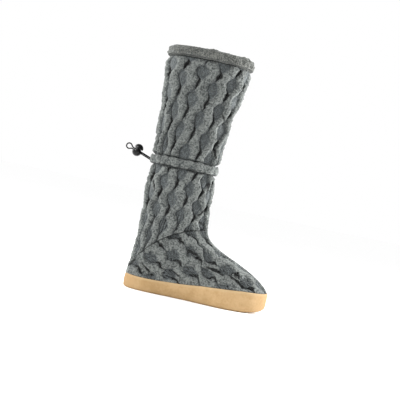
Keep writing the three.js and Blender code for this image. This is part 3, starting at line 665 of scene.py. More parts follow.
def heather_group() -> bpy.types.NodeTree:
    """Group that flecks a yarn's colour: light and dark fibres over two sizes."""
    group, nodes, given, out = new_group(
        "heather_flecks",
        {
            "Colour": (COLOUR, (0.2, 0.2, 0.2, 1)),
            "Light": (COLOUR, (0.5, 0.5, 0.5, 1)),
            "Dark": (COLOUR, (0.05, 0.05, 0.05, 1)),
            "Fleck": (FLOAT, 2.0),
            "Strength": (FLOAT, 1.0),
        },
        {"Colour": COLOUR, "Height": FLOAT},
    )
    fine = nodes.noise(nodes.math("DIVIDE", 1 / MM, given.outputs["Fleck"]), 2.0, 0.7)
    level = nodes.math("MULTIPLY_ADD", nodes.noise(70.0, 1.0), 0.22, -0.11)
    level = nodes.math("ADD", fine, level)
    light = nodes.math("MULTIPLY", nodes.range(level, 0.49, 0.62), given.outputs["Strength"])
    dark = nodes.math("MULTIPLY", nodes.range(level, 0.49, 0.36), given.outputs["Strength"])
    colour = nodes.mix(light, given.outputs["Colour"], given.outputs["Light"])
    colour = nodes.mix(dark, colour, given.outputs["Dark"])
    nodes.put(out, 0, colour)
    nodes.put(out, 1, fine)
    return group


def stitch_group() -> bpy.types.NodeTree:
    """Group that gives the height of plain knitted stitches, two legs to each wale."""
    group, nodes, given, out = new_group(
        "plain_stitches", {"Fabric": (VECTOR, None), "Slant": (FLOAT, 0.9)}, {"Height": FLOAT}
    )
    parts = nodes.add("SeparateXYZ", Vector=given.outputs["Fabric"]).outputs
    centred = nodes.math("SUBTRACT", nodes.math("FRACT", parts[0]), 0.5)
    side = nodes.math("ABSOLUTE", centred)
    course = nodes.math("MULTIPLY_ADD", side, given.outputs["Slant"], parts[1])
    beat = nodes.math("SUBTRACT", nodes.math("FRACT", course), 0.5)
    leg = nodes.math("MULTIPLY_ADD", nodes.math("SUBTRACT", side, 0.25), 4.0, 0.0)
    leg = nodes.math("SUBTRACT", 1.0, nodes.math("MULTIPLY", leg, leg))
    beat = nodes.math("SUBTRACT", 1.0, nodes.math("MULTIPLY", nodes.math("MULTIPLY", beat, beat), 3.0))
    height = nodes.math("MULTIPLY", nodes.math("MAXIMUM", leg, 0.0), beat)
    nodes.put(out, 0, nodes.math("MAXIMUM", height, 0.0))
    return group


def nap_group() -> bpy.types.NodeTree:
    """Group for brushed nap: mottling over three sizes and the height of its fibres."""
    group, nodes, given, out = new_group(
        "brushed_nap",
        {
            "Colour": (COLOUR, (0.5, 0.4, 0.2, 1)),
            "Brushed": (COLOUR, (0.7, 0.6, 0.4, 1)),
            "Strength": (FLOAT, 1.0),
        },
        {"Colour": COLOUR, "Height": FLOAT},
    )
    small, grain = nodes.noise(260.0, 2.0), nodes.noise(1500.0, 2.0, 0.8)
    level = nodes.math("MULTIPLY_ADD", nodes.noise(38.0, 3.0, 0.6), 0.62,
                       nodes.math("MULTIPLY", small, 0.22))
    level = nodes.math("MULTIPLY_ADD", grain, 0.16, level)
    share = nodes.math("MULTIPLY", nodes.range(level, 0.38, 0.62), given.outputs["Strength"])
    nodes.put(out, 0, nodes.mix(share, given.outputs["Colour"], given.outputs["Brushed"]))
    nodes.put(out, 1, nodes.math("MULTIPLY_ADD", grain, 0.6, nodes.math("MULTIPLY", small, 0.6)))
    return group


def srgb(red: int, green: int, blue: int) -> tuple[float, float, float, float]:
    """Colour of three numbers from 0 to 255, as light."""
    def light(number: int) -> float:
        """One channel as light."""
        share = number / 255
        return share / 12.92 if share <= 0.04045 else ((share + 0.055) / 1.055) ** 2.4
    return light(red), light(green), light(blue), 1.0


def start_material(
    name: str, **sockets: object
) -> tuple[bpy.types.Material, Nodes, bpy.types.Node]:
    """Starts a material with its one surface shader and the values of the shader's sockets."""
    material = bpy.data.materials.new(name)
    material.use_nodes = True
    shader = material.node_tree.nodes["Principled BSDF"]
    for key, value in sockets.items():
        shader.inputs[key.replace("_", " ")].default_value = value
    return material, Nodes(material.node_tree), shader


@dataclass(frozen=True)
class KnitFinish:
    """Heathered wool knit: flecked ridges with painted shade on their flanks, smoother darker cells
    partly in painted shade, and near-black painted shade in crevices.
    """

    name: str
    ridge: Rgb = (96, 99, 97)
    light: Rgb = (115, 119, 116)
    dark: Rgb = (58, 61, 60)
    # The cells' darker tone is partly their smoother knit and partly painted shade of their recess.
    cell: Rgb = (81, 86, 88)
    cell_light: Rgb = (110, 115, 116)
    cell_dark: Rgb = (46, 50, 52)
    # Painted shade on the ridges' flanks.
    painted_flank_shade: Rgb = (54, 57, 57)
    # Near-black painted shade in slits, seams, creases, rib troughs, beside the casing and under the
    # cuff.
    crevice_shade: Rgb = (4, 4, 4)
    fleck: float = 2.9
    cell_fleck: float = 2.2
    stitch_depth: float = 0.0008
    fleck_depth: float = 0.0015

    def material(self, groups: dict[str, bpy.types.NodeTree]) -> bpy.types.Material:
        """Builds the material from the shared groups."""
        material, nodes, shader = start_material(
            self.name, Roughness=0.95, Specular_IOR_Level=0.2, Sheen_Weight=0.3,
            Sheen_Roughness=0.55, Sheen_Tint=srgb(205, 210, 208),
        )
        fabric = nodes.add("UVMap", {"uv_map": "fabric"}).outputs[0]
        stitches = nodes.group(groups["stitch"], Fabric=fabric)[0]
        flecks = nodes.group(groups["heather"], Colour=self.ridge, Light=self.light, Dark=self.dark,
                             Fleck=self.fleck)
        quiet = nodes.group(groups["heather"], Colour=self.cell, Light=self.cell_light,
                            Dark=self.cell_dark, Fleck=self.cell_fleck, Strength=0.75)
        # Painted shade between the stitch legs, mixed toward the dark fibre colour.
        between = nodes.math("SUBTRACT", 1.0, nodes.range(stitches, 0.0, 0.5))
        ground = nodes.mix(between, quiet[0], srgb(*self.dark))
        # Ridge tops flecked, their flanks in painted shade, the cells below them.
        lifted = nodes.math("ADD", nodes.value("relief"), -1.5)
        ragged = nodes.math("MULTIPLY_ADD", flecks[1], 3.0, lifted)
        colour = nodes.mix(nodes.range(ragged, 0.2, 0.85), srgb(*self.painted_flank_shade), flecks[0])
        colour = nodes.mix(nodes.range(ragged, -0.15, 0.45), ground, colour)
        # Near-black painted shade in the crevices.
        slit_shade = nodes.range(nodes.value("crevice_shade"), 0.08, 0.5)
        nodes.put(shader, "Base Color", nodes.mix(slit_shade, colour, srgb(*self.crevice_shade)))
        plain = nodes.bump(0.75, self.stitch_depth, stitches)
        nodes.put(shader, "Normal", nodes.bump(0.9, self.fleck_depth, flecks[1], Normal=plain))
        return material


@dataclass(frozen=True)
class SuedeFinish:
    """Brushed suede with a lighter top edge that is painted highlight, and painted shade along its lower
    edge, underneath, inside and at the heel and toe.
    """

    name: str
    base: Rgb = (153, 125, 86)
    brushed: Rgb = (169, 141, 103)
    # Painted highlight along the top edge.
    edge_highlight: Rgb = (172, 149, 113)
    shade: Rgb = (140, 109, 72)

    def material(self, groups: dict[str, bpy.types.NodeTree]) -> bpy.types.Material:
        """Builds the material from the shared groups."""
        material, nodes, shader = start_material(
            self.name, Roughness=0.92, Specular_IOR_Level=0.25, Sheen_Weight=0.1,
            Sheen_Roughness=0.5, Sheen_Tint=srgb(240, 220, 180),
        )
        colour, fibres = nodes.group(groups["nap"], Colour=self.base, Brushed=self.brushed)
        # Painted highlight along the top edge, and painted shade underneath, inside and at the ends, by
        # the mesh's two shares.
        for key, most, tone in (("edge", 0.7, self.edge_highlight), ("under", 0.8, self.shade)):
            colour = nodes.mix(nodes.math("MULTIPLY", nodes.value(key), most), colour, srgb(*tone))
        nodes.put(shader, "Base Color", colour)
        nodes.put(shader, "Normal", nodes.bump(0.5, 0.0005, fibres))
        return material


@dataclass(frozen=True)
class FleeceFinish:
    """Soft brushed lining: close curls of pale grey."""

    name: str
    colour: Rgb = (138, 143, 142)
    light: Rgb = (170, 174, 172)
    dark: Rgb = (92, 96, 96)
    curl: float = 1.6

    def material(self, groups: dict[str, bpy.types.NodeTree]) -> bpy.types.Material:
        """Builds the material from the shared groups."""
        material, nodes, shader = start_material(
            self.name, Roughness=0.95, Specular_IOR_Level=0.2, Sheen_Weight=0.3
        )
        colour, curls = nodes.group(groups["heather"], Colour=self.colour, Light=self.light,
                                    Dark=self.dark, Fleck=self.curl)
        nodes.put(shader, "Base Color", colour)
        nodes.put(shader, "Normal", nodes.bump(0.8, 0.0008, curls))
        return material


@dataclass(frozen=True)
class CordFinish:
    """Black elastic cord with a braided sleeve."""

    name: str
    colour: Rgb = (3, 3, 4)
    light: Rgb = (10, 10, 11)

    def material(self) -> bpy.types.Material:
        """Builds the material."""
        material, nodes, shader = start_material(self.name, Roughness=0.75, Specular_IOR_Level=0.12)
        braid = nodes.value("braid")
        # Painted highlight on the braid's raised strands.
        colour = nodes.mix(nodes.range(braid, 0.35, 0.95), srgb(*self.colour), srgb(*self.light))
        nodes.put(shader, "Base Color", colour)
        nodes.put(shader, "Normal", nodes.bump(0.6, 0.0002, braid))
        return material


@dataclass(frozen=True)
class PlasticFinish:
    """Glossy black moulded plastic with faint scuffs."""

    name: str
    colour: Rgb = (9, 9, 10)

    def material(self) -> bpy.types.Material:
        """Builds the material."""
        material, nodes, shader = start_material(
            self.name, Base_Color=srgb(*self.colour), Specular_IOR_Level=0.24, Coat_Weight=0.05,
            Coat_Roughness=0.12,
        )
        scuffs = nodes.noise(900.0, 4.0, 0.7)
        nodes.put(shader, "Roughness", nodes.range(scuffs, 0.35, 0.75, 0.3, 0.42))
        nodes.put(shader, "Normal", nodes.bump(0.05, 0.0002, scuffs))
        return material


@dataclass
class KnitPanel:
    """One knitted panel of the upper, as a hollow sheet with its true wall."""

    panel: Panel
    last: Last
    cables: CablePattern
    material: bpy.types.Material
    rows: int
    across: int
    lining_rows: int = 40
    wall: float = 6.5
    cable_height: float = 6.6
    proud: float = 1.5
    crevice_depth: float = 1.8
    curl: float = 0.8
    lump: float = 0.85
    ribbed: float = 0.2
    seam_depth: float = 1.3
    seam_width: float = 1.7
    wales: int = 9
    courses: int = 20
    casing: tuple[float, float] = (222.0, 238.0)
    casing_lap: float = 6.0
    casing_fade: float = 6.0
    collar_fade: float = 12.0
    band_fade: float = 5.0
    plain_above: tuple[float, float] = (128, 165)
    faint_below: tuple[float, float] = (118, 150)
    crest_round: tuple[float, float] = (0.15, 0.85)
    # Strengths of painted shade along the ankle seam, in creases, beside the casing and in rib troughs.
    seam_shade: float = 0.45
    fold_shade: float = 0.8
    casing_dark: float = 0.3
    rib_trough_shade: float = 0.4
    fold_wander: float = 1.2
    proudest: float = 3.2
    collar: float = 415.0
    cup_floor: float = 11.4
    cup_wall: float = 3.3
    foot_lining_wales: int = 100
    wander: Layers = ((34, 1, 1.0), (11, 7, 0.9), (4.2, 10, 1.2))
    sway: Layers = ((38, 2, 1.0),)
    breaks: Layers = ((26, 9, 0.5), (5.5, 15, 0.7))
    lumps: Layers = ((8.5, 3, 1.0), (4.6, 4, 1.0))
    curls: Layers = ((2.9, 5, 1.0), (1.7, 6, 0.5))

    def coordinates(self, points: Array) -> tuple[Array, Array]:
        """Column and phase of the panel's places, with the small wander of real knitting."""
        place = self.cables.on_foot if self.panel is Panel.FOOT else self.cables.on_shaft
        column, phase = place(self.last, points)
        wander = self.cables.wander
        return column + wander * layered(points, self.wander), phase + wander * layered(points, self.sway)

    def depth(self, points: Array) -> tuple[Array, dict[str, Array]]:
        """Depth of the knit's face below the crest level, and the values for its finish: ridge height and
        painted shade.
        """
        column, phase = self.coordinates(points)
        height, crevice_shade = self.cables.relief(column, phase)
        crevice_shade = crevice_shade * np.clip(1.15 + layered(points, self.breaks), 0.1, 1)
        x, z = points[..., 0], points[..., 2]
        shows = smooth(0, self.band_fade, z - self.last.band_top(x))
        away = np.maximum(np.maximum(self.casing[0] - z, z - self.casing[1]), 0)
        open_face = smooth(0, self.casing_fade, away) * smooth(0, self.collar_fade, self.collar - z)
        lumps, curls = layered(points, self.lumps), layered(points, self.curls)
        rib = 0.5 + 0.5 * np.cos(2 * np.pi * column * self.wales)
        ribbed = self.ribbed * (1 - smooth(0.0, 0.4, height))
        if self.panel is Panel.LOWER_SHAFT:
            ribbed = ribbed * (1 - smooth(*self.plain_above, z))
            crevice_shade = crevice_shade * (0.35 + 0.65 * smooth(*self.faint_below, z))
        depth = self.cable_height * (1 - height * open_face) - self.proud
        depth = depth + self.crevice_depth * crevice_shade * open_face
        least, rest = self.crest_round
        depth = depth - self.curl * curls * (least + rest * height) - self.lump * lumps * height
        trough, fold = self.creases(points)
        seam = self.seam_line(points)
        depth = depth - ribbed * rib + trough + self.seam_depth * seam
        # Painted shade under the cuff, beside the casing, in rib troughs, along the ankle seam and in
        # creases, joined with the slits' painted shade.
        shade_under_cuff = smooth(self.collar - 3.5, self.collar - 1.5, z)
        shade_beside_casing = self.casing_dark * (1 - smooth(1.0, 3.0, away))
        shade_between_ribs = self.rib_trough_shade * ribbed * (1 - rib) ** 2
        lines = np.maximum(self.seam_shade * seam, self.fold_shade * fold)
        painted_shades = (crevice_shade * open_face, shade_between_ribs, lines, shade_beside_casing, shade_under_cuff)
        crevice_shade = np.maximum.reduce(np.broadcast_arrays(*painted_shades))
        values = {"relief": height * (0.5 + 0.5 * open_face), "crevice_shade": crevice_shade}
        return np.clip(depth, -self.proudest, self.wall - 0.4) * shows, values

    def seam_line(self, points: Array) -> Array:
        """Closeness to the ankle seam, 1 on it, for the two panels that it joins."""
        if self.panel is Panel.UPPER_SHAFT:
            return np.zeros(points.shape[:-1])
        run = run_along(points)
        distance = run if self.panel is Panel.LOWER_SHAFT else run[-1:] - run
        return bump(distance, 0, self.seam_width)

    def creases(self, points: Array) -> tuple[Array, Array]:
        """Depth of the listed creases, and how sharply each folds the knit."""
        depth, fold = np.zeros((2,) + points.shape[:-1])
        for side, start, end, deep, wide in CREASES[self.panel]:
            from_start = points[..., [0, 2]] - start
            way = np.subtract(end, start).astype(float)
            share = np.clip(from_start @ way / (way @ way), 0, 1)
            gap = np.linalg.norm(from_start - share[..., None] * way, axis=-1)
            gap = gap + self.fold_wander * speckle(points, 9, 8)
            taper = np.sin(np.pi * np.clip(share, 0.04, 0.96)) ** 0.5
            if side:
                taper = taper * smooth(0, 4, side * points[..., 1])
            ridge = 0.45 * bump(gap, 1.9 * wide, wide)
            depth += taper * deep * (bump(gap, 0, wide) - ridge)
            # How sharply each crease folds, which sets the painted shade along it.
            fold = np.maximum(fold, taper * bump(gap, 0, 0.55 * wide) * deep / 3)
        return depth, fold

    def joined(self, outside: Array, face: Array, lining: Array, values: dict[str, Array],
               axis: int) -> bpy.types.Object:
        """Joins the face to the lining as one hollow piece.

        Args:
            outside: The places that the face was pressed in from.
            face: The knit's face.
            lining: The lining, in the order that follows the face.
            values: The values of the face for its finish.
            axis: 0 where the lining follows by rows, 1 where it follows along each row.

        Returns:
            The piece.
        """
        bare = {"relief": 0.3, "crevice_shade": 0.0}
        for key, value in values.items():
            values[key] = np.concatenate([value, np.full(lining.shape[:2], bare[key])], axis=axis)
        column, phase = self.coordinates(outside)
        fabric = np.stack([column * self.wales, phase * self.courses], axis=-1)
        turn = self.cables.columns_round * self.wales
        if axis == 0:
            fabric = np.concatenate([fabric, fabric[:, :1] + np.array([turn, 0])], axis=1)
        rows, count = lining.shape[:2]
        wales = self.foot_lining_wales if axis else turn
        inner = np.meshgrid(np.linspace(0, wales, count + 1), np.linspace(0, 80, rows))
        fabric = np.concatenate([fabric, np.stack(inner, axis=-1)], axis=axis)
        grid = self.last.in_frame(np.concatenate([face, lining], axis=axis))
        return loop_object(f"{self.panel.value}_knit", grid, values, fabric, ends=axis == 0)

    def rings(self) -> bpy.types.Object:
        """A panel of the shaft: closed rings outside, and a lining of fewer rings inside."""
        low, high = self.last.ankle_seam_row, len(SECTIONS) - 1
        if self.panel is Panel.LOWER_SHAFT:
            high = float(self.last.number_at(self.casing[0] + self.casing_lap))
        else:
            low = float(self.last.number_at(self.casing[1] - self.casing_lap))
        outside, inside = (self.ring_grid(low, high, rows) for rows in (self.rows, self.lining_rows))
        depth, values = self.depth(outside)
        face = outside - grid_normals(outside, closed=True) * depth[..., None]
        lining = inside - grid_normals(inside, closed=True) * self.wall
        return self.joined(outside, face, lining[::-1], values, axis=0)

    def ring_grid(self, low: float, high: float, rows: int) -> Array:
        """Closed rings from the back by the outer side and the front, evenly spaced."""
        lines = self.last.half_lines(self.last.even_numbers(low, high, rows))
        return np.array([closed_ring(there, back, self.across) for there, back in lines])

    def foot_sheet(self, across: int) -> tuple[Array, Array]:
        """Arcs over the foot from the cup's outer side to its inner side, and their normals."""
        numbers = self.last.even_numbers(0, self.last.ankle_seam_row, self.rows)
        arcs = []
        for there, back in self.last.half_lines(numbers):
            there = resample(self.above_floor(there), across // 2)
            back = resample(self.above_floor(back[::-1])[::-1], across // 2)
            arcs.append(np.concatenate([there, back[1:]]))
        grid = np.array(arcs)
        tip = 1 - smooth(0, 4, self.last.sole_length - 1 - grid[..., :1])
        return grid, grid_normals(grid, closed=False) * (1 - tip) + np.array([1.0, 0, 0]) * tip

    def above_floor(self, line: Array) -> Array:
        """The part of a line, from its seat up, that lies above the cup's floor."""
        height = line[:, 2]
        if height[0] >= self.cup_floor:
            return line
        first = int(np.argmax(height >= self.cup_floor))
        if first == 0:
            return line[-2:]
        share = (self.cup_floor - height[first - 1]) / (height[first] - height[first - 1])
        cut = line[first - 1] + (line[first] - line[first - 1]) * share
        return np.concatenate([cut[None, :], line[first:]])

    def arcs(self) -> bpy.types.Object:
        """The foot panel: each row is a loop of the outer face and the lining under it."""
        outside, outward = self.foot_sheet(self.across)
        inside, inward = self.foot_sheet(self.lining_rows)
        depth, values = self.depth(outside)
        over_edge = outside[..., 2] - self.last.band_top(outside[..., 0])
        depth = np.maximum(depth, self.cup_wall * (1 - smooth(-1.5, 1.5, over_edge)))
        face = outside - outward * depth[..., None]
        lining = inside - inward * self.wall
        return self.joined(outside, face, lining[:, ::-1], values, axis=1)

    def build(self) -> bpy.types.Object:
        """Makes the panel and gives it its finish."""
        if self.panel is Panel.FOOT:
            return finish_piece(self.arcs(), "foot_upper", self.material)
        return finish_piece(self.rings(), "shaft", self.material)


@dataclass
class KnitBand:
    """A knitted tube swept round the shaft: the rolled cuff or the drawstring's casing."""

    name: str
    node: str
    slot: str
    last: Last
    material: bpy.types.Material
    profile: list[tuple[float, float]]
    base: float
    height_follows: bool
    across: int = 400
    around_profile: int = 40
    collar: float = 415.0
    swell_out: tuple[float, float] = (-4.2, -1.5)
    swell_up: tuple[float, float] = (-1.0, 2.5)
    flatten: tuple[float, float, float] = (1, 1, 0.35)
    wales: int = 126
    courses: int = 16
    hole_reach: tuple[float, float] = (2.2, 4.2)
    # Reach of the painted shade round the cord's hole.
    hole_shade: tuple[float, float] = (2.0, 3.6)
    hole_depth: float = 5.0
    lump: float = 0.8
    curl: float = 0.4
    hole: tuple[float, float, float] | None = None
    cables: CablePattern | None = None
    cable_height: float = 2.6

    def outline(self) -> Array:
        """The profile as an even closed line, as out from the crest and up from the base."""
        knots = np.array(self.profile + self.profile[:1], float)
        return softened(resample(knots, self.around_profile)[:-1], 2)

    def build(self) -> bpy.types.Object:
        """Sweeps the profile round the shaft and gives it its finish."""
        outline = self.outline()
        centre = outline.mean(axis=0)
        loops, outward = [], []
        for out, up in outline:
            level = self.base + up
            number = self.last.number_at(min(level, self.collar) if self.height_follows else self.base)
            ring = closed_ring(*self.last.half_lines(np.array([float(number)]))[0], self.across)
            normal = level_normals(ring)
            moved = ring + normal * out
            moved[:, 2] = level
            loops.append(moved)
            away = unit(np.array([out, up]) - centre)
            outward.append(normal * away[0] + np.array([0, 0, away[1]]))
        grid, outward = np.array(loops), np.array(outward)
        out, up = outline.T[..., None]
        share = smooth(*self.swell_out, out) * smooth(*self.swell_up, up)
        lumps = speckle(grid * self.flatten, 24, 11) + 0.8 * speckle(grid, 7, 12)
        curls = layered(grid, ((2.4, 13, 1.0), (1.4, 14, 0.6)))
        raised, slit_shade = np.zeros((2,) + grid.shape[:2])
        if self.cables is not None:
            raised, slit_shade = self.cables.relief(*self.cables.on_shaft(self.last, grid))
        swell = self.lump * lumps + self.curl * curls + self.cable_height * (raised - 0.7) * share
        grid = grid + outward * (swell * share)[..., None]
        if self.hole is not None:
            gap = np.linalg.norm((grid - np.array(self.hole))[..., 1:], axis=-1)
            behind = grid[..., 0] < self.hole[0] + 4
            grid[..., 0] += (1 - smooth(*self.hole_reach, gap)) * behind * self.hole_depth
        turns = np.linspace(0, self.wales, self.across + 1)
        fabric = np.meshgrid(turns, np.linspace(0, self.courses, len(outline)))
        relief = np.broadcast_to(0.75 + 0.1 * lumps, grid.shape[:2])
        rise = up / up.max()
        # Painted shade along the band's lower edge.
        crevice_shade = np.broadcast_to(0.3 * bump(rise, 0.0, 0.05), grid.shape[:2])
        if self.cables is not None:
            relief = 0.5 + 0.5 * raised
            # Painted shade along the casing's lower and upper edges and in its slits.
            painted_edge_shade = 0.5 * bump(rise, 0.02, 0.07) + 0.2 * bump(rise, 0.98, 0.06)
            crevice_shade = np.maximum(painted_edge_shade, 0.3 * slit_shade)
        if self.hole is not None:
            # Painted shade in and round the cord's hole.
            crevice_shade = np.maximum(crevice_shade, (1 - smooth(*self.hole_shade, gap)) * behind)
        values = {"relief": relief, "crevice_shade": crevice_shade}
        fabric = np.stack(fabric, axis=-1)
        piece = loop_object(self.name, self.last.in_frame(grid), values, fabric, ends=True)
        return finish_piece(piece, self.node, self.material)


@dataclass
class SuedeSole:
    """The suede cup under the foot: a flat sole with rounded edges, wrapped up into a band."""

    last: Last
    material: bpy.types.Material
    around: int = 520
    wall: float = 3.0
    floor: float = 11.0
    rim: float = 1.2
    heel_radius: float = 5.0
    toe_radius: float = 12.0
    toe_spring: float = 4.0
    spring_start: float = 195.0
    floor_insets: tuple[float, ...] = (8, 16, 22, 26)
    edge_ripple: float = 0.35
    side_bulge: float = 0.5
    side_mottle: float = 0.3
    nap_height: float = 0.12

    def outline(self) -> Array:
        """The outline in plan, evenly spaced, from the heel by the outer side to the toe."""
        along = self.last.sole_length / 2 * (1 - np.cos(np.linspace(0, np.pi, 800)))
        outer, inner = (np.stack([along, edge, 0 * along], axis=-1) for edge in self.last.edges(along))
        return softened(closed_ring(outer, inner[::-1], self.around), 3)

    def build(self) -> bpy.types.Object:
        """Makes the cup and gives it its finish."""
        line = self.outline()
        outward = level_normals(line)
        along, ones = line[:, 0], np.ones(len(line))
        length = self.last.sole_length
        spring = np.clip((along - self.spring_start) / (length - self.spring_start), 0, 1)
        under = self.toe_spring * spring**2
        radius = self.heel_radius + (self.toe_radius - self.heel_radius) * smooth(150, length, along)
        top = self.last.band_top(along) + self.edge_ripple * speckle(line, 26, 21)
        lip = top - self.rim
        # Painted shade at the heel and toe ends.
        ends = 0.6 * (1 - smooth(0, 34, along)) + 0.45 * smooth(length - 26, length, along)
        # Each ring holds its share of painted highlight on the top edge and of painted shade underneath,
        # low on the sides and inside.
        rings, edge, shade = [], [], []

        def ring(inset: Array, height: Array, highlight_share: float, shade_share: float) -> None:
            """Adds one ring of the profile, with its painted highlight and painted shade."""
            place = line - outward * np.asarray(inset)[..., None]
            place[:, 2] = height
            rings.append(place)
            edge.append(highlight_share * ones)
            shade.append(np.maximum(shade_share, ends))

        for inset in (26, 22, 18):
            ring(ones * inset, under, 0.0, 0.25)
        # The lower edge rounds over, with a slight groove where the band meets the bottom and painted
        # shade along it.
        for step in range(9):
            turn = math.pi / 2 * step / 8
            seam = bump(step, 3.0, 1.1)
            ring(radius * (1 - math.sin(turn)) + 0.35 * seam, under + radius * (1 - math.cos(turn)),
                 0.0, 0.1 + 0.3 * seam)
        side_low = under + radius
        for step in range(1, 17):
            share = step / 16
            height = side_low + (lip - side_low) * share
            places = np.stack([along, line[:, 1], height], axis=-1)
            bulge = self.side_bulge + self.side_mottle * speckle(places, 17, 22)
            ring(-bulge * math.sin(math.pi * share), height,
                 0.9 * float(smooth(0.78, 1.0, share)), 0.15 * float(1 - smooth(0, 0.25, share)))
        for turn in (0.25, 0.5, 0.75, 1.0):
            angle = math.pi * turn
            ring(ones * (1 - math.cos(angle)), lip + self.rim * math.sin(angle), 1.0, 0.0)
        for share in (0.33, 0.66, 1.0):
            ring(ones * (2 + (self.wall - 2) * share), lip - (lip - self.floor) * share, 0.1, 0.5)
        for inset in self.floor_insets:
            ring(ones * inset, ones * self.floor, 0.0, 0.5)
        grid = np.array(rings)
        side = slice(3, 28)
        grid[side] += outward * (self.nap_height * speckle(grid, 3.5, 23)[side])[..., None]
        values = {"edge": np.array(edge), "under": np.array(shade)}
        piece = loop_object("suede_sole", self.last.in_frame(grid), values)
        return finish_piece(piece, "sole", self.material)


@dataclass
class Insole:
    """The soft insole that shows through the collar."""

    last: Last
    material: bpy.types.Material
    bottom: float = 11.35
    thickness: float = 3.9
    inset: float = 7.4
    around: int = 240

    def build(self) -> bpy.types.Object:
        """Makes a crowned pad inside the upper and gives it its finish."""
        line = SuedeSole(self.last, self.material, around=self.around).outline()
        outward = level_normals(line)
        steps = [(30, 0.0), (18, 0.0), (4, 0.0), (1.2, 0.0), (0.4, 0.12), (0.0, 0.35), (0.0, 0.65),
                 (0.4, 0.88), (1.2, 0.97), (4, 1.0), (9, 1.03), (15, 1.06), (22, 1.07), (30, 1.07)]
        rings = []
        for inset, rise in steps:
            place = line - outward * min(self.inset + inset, 28)
            place[:, 2] = self.bottom + self.thickness * rise
            rings.append(place)
        grid = np.array(rings)
        grid[7:, :, 2] += 0.2 * speckle(grid[7:], 9, 31) * np.linspace(0.3, 1, 7)[:, None]
        piece = loop_object("fleece_insole", self.last.in_frame(grid), {})
        return finish_piece(piece, "insole", self.material)


# Route of the drawcord from the casing and back, as out along the cord and up along the lock's axis
CORD_ROUTE = [
    (-4.0, -2.4), (4.0, -2.4), (12.0, -2.4), (20.0, -2.4), (28.0, -2.5), (35.6, -2.6),
    (38.2, -3.3), (40.3, -5.0), (42.6, -6.0), (45.8, -5.5), (47.6, -3.7), (48.2, -1.3),
    (47.6, 1.1), (45.8, 2.9), (42.6, 3.4), (40.3, 2.4), (38.2, 0.7), (35.6, 0.0), (28.0, 0.0),
    (20.0, 0.0), (12.0, 0.0), (4.0, 0.0), (-4.0, 0.0),
]


@dataclass
class CordPlace:
    """Where the cord leaves the casing, and the directions along it and along the lock's axis."""

    along: float = 1.5
    height: float = 230.0
    rise: float = math.radians(20)
    origin_from_heel: float = 127.5

    def point(self, out: float, up: float, side: float = 0.0) -> tuple[float, float, float]:
        """A place in the frame, in millimetres."""
        start_x = self.along - self.origin_from_heel
        x = start_x - out * math.cos(self.rise) + up * math.sin(self.rise)
        z = self.height + out * math.sin(self.rise) + up * math.cos(self.rise)
        return x, side, z


@dataclass
class Drawcord:
    """The doubled elastic cord with its free loop behind the lock."""

    place: CordPlace
    material: bpy.types.Material
    diameter: float = 2.3
    sides: int = 16
    steps_between: int = 14
    braid_pitch: float = 2.6
    slack: float = 0.06
    strand_height: float = 0.08

    def path(self) -> Array:
        """Smooth line through the route's points."""
        knots = np.array([self.place.point(out, up) for out, up in CORD_ROUTE])
        wide = np.stack([2 * knots[0] - knots[1], *knots, 2 * knots[-1] - knots[-2]])
        line = []
        for i in range(len(knots) - 1):
            p0, p1, p2, p3 = wide[i : i + 4]
            d = [np.linalg.norm(b - a) ** 0.5 for a, b in ((p0, p1), (p1, p2), (p2, p3))]
            m1 = (p1 - p0) / d[0] - (p2 - p0) / (d[0] + d[1]) + (p2 - p1) / d[1]
            m2 = (p2 - p1) / d[1] - (p3 - p1) / (d[1] + d[2]) + (p3 - p2) / d[2]
            m1, m2 = m1 * d[1], m2 * d[1]
            for t in np.arange(self.steps_between) / self.steps_between:
                line.append(
                    (2 * t**3 - 3 * t**2 + 1) * p1 + (t**3 - 2 * t**2 + t) * m1
                    + (3 * t**2 - 2 * t**3) * p2 + (t**3 - t**2) * m2
                )
        line.append(knots[-1])
        return resample(np.array(line), len(line) * 2)

    def build(self, lock: list[bpy.types.Object]) -> bpy.types.Object:
        line = self.path()
        run = run_along(line)
        side = np.array([0.0, 1.0, 0.0])
        other = np.cross(unit(np.gradient(line, axis=0)), side)
        turn = 2 * np.pi * np.arange(self.sides)[None, :] / self.sides
        way = run[:, None] * 2 * np.pi / self.braid_pitch
        braid = 0.5 + 0.25 * (np.cos(3 * turn + way) + np.cos(3 * turn - way))
        radius = self.diameter / 2 - self.slack + self.strand_height * braid
        grid = line[:, None] + radius[..., None] * (
            np.cos(turn)[..., None] * side + np.sin(turn)[..., None] * other[:, None]
        )
        piece = loop_object("elastic_drawcord", grid[::-1], {"braid": braid[::-1]})
        finish_piece(piece, "drawcord", self.material)
        return piece


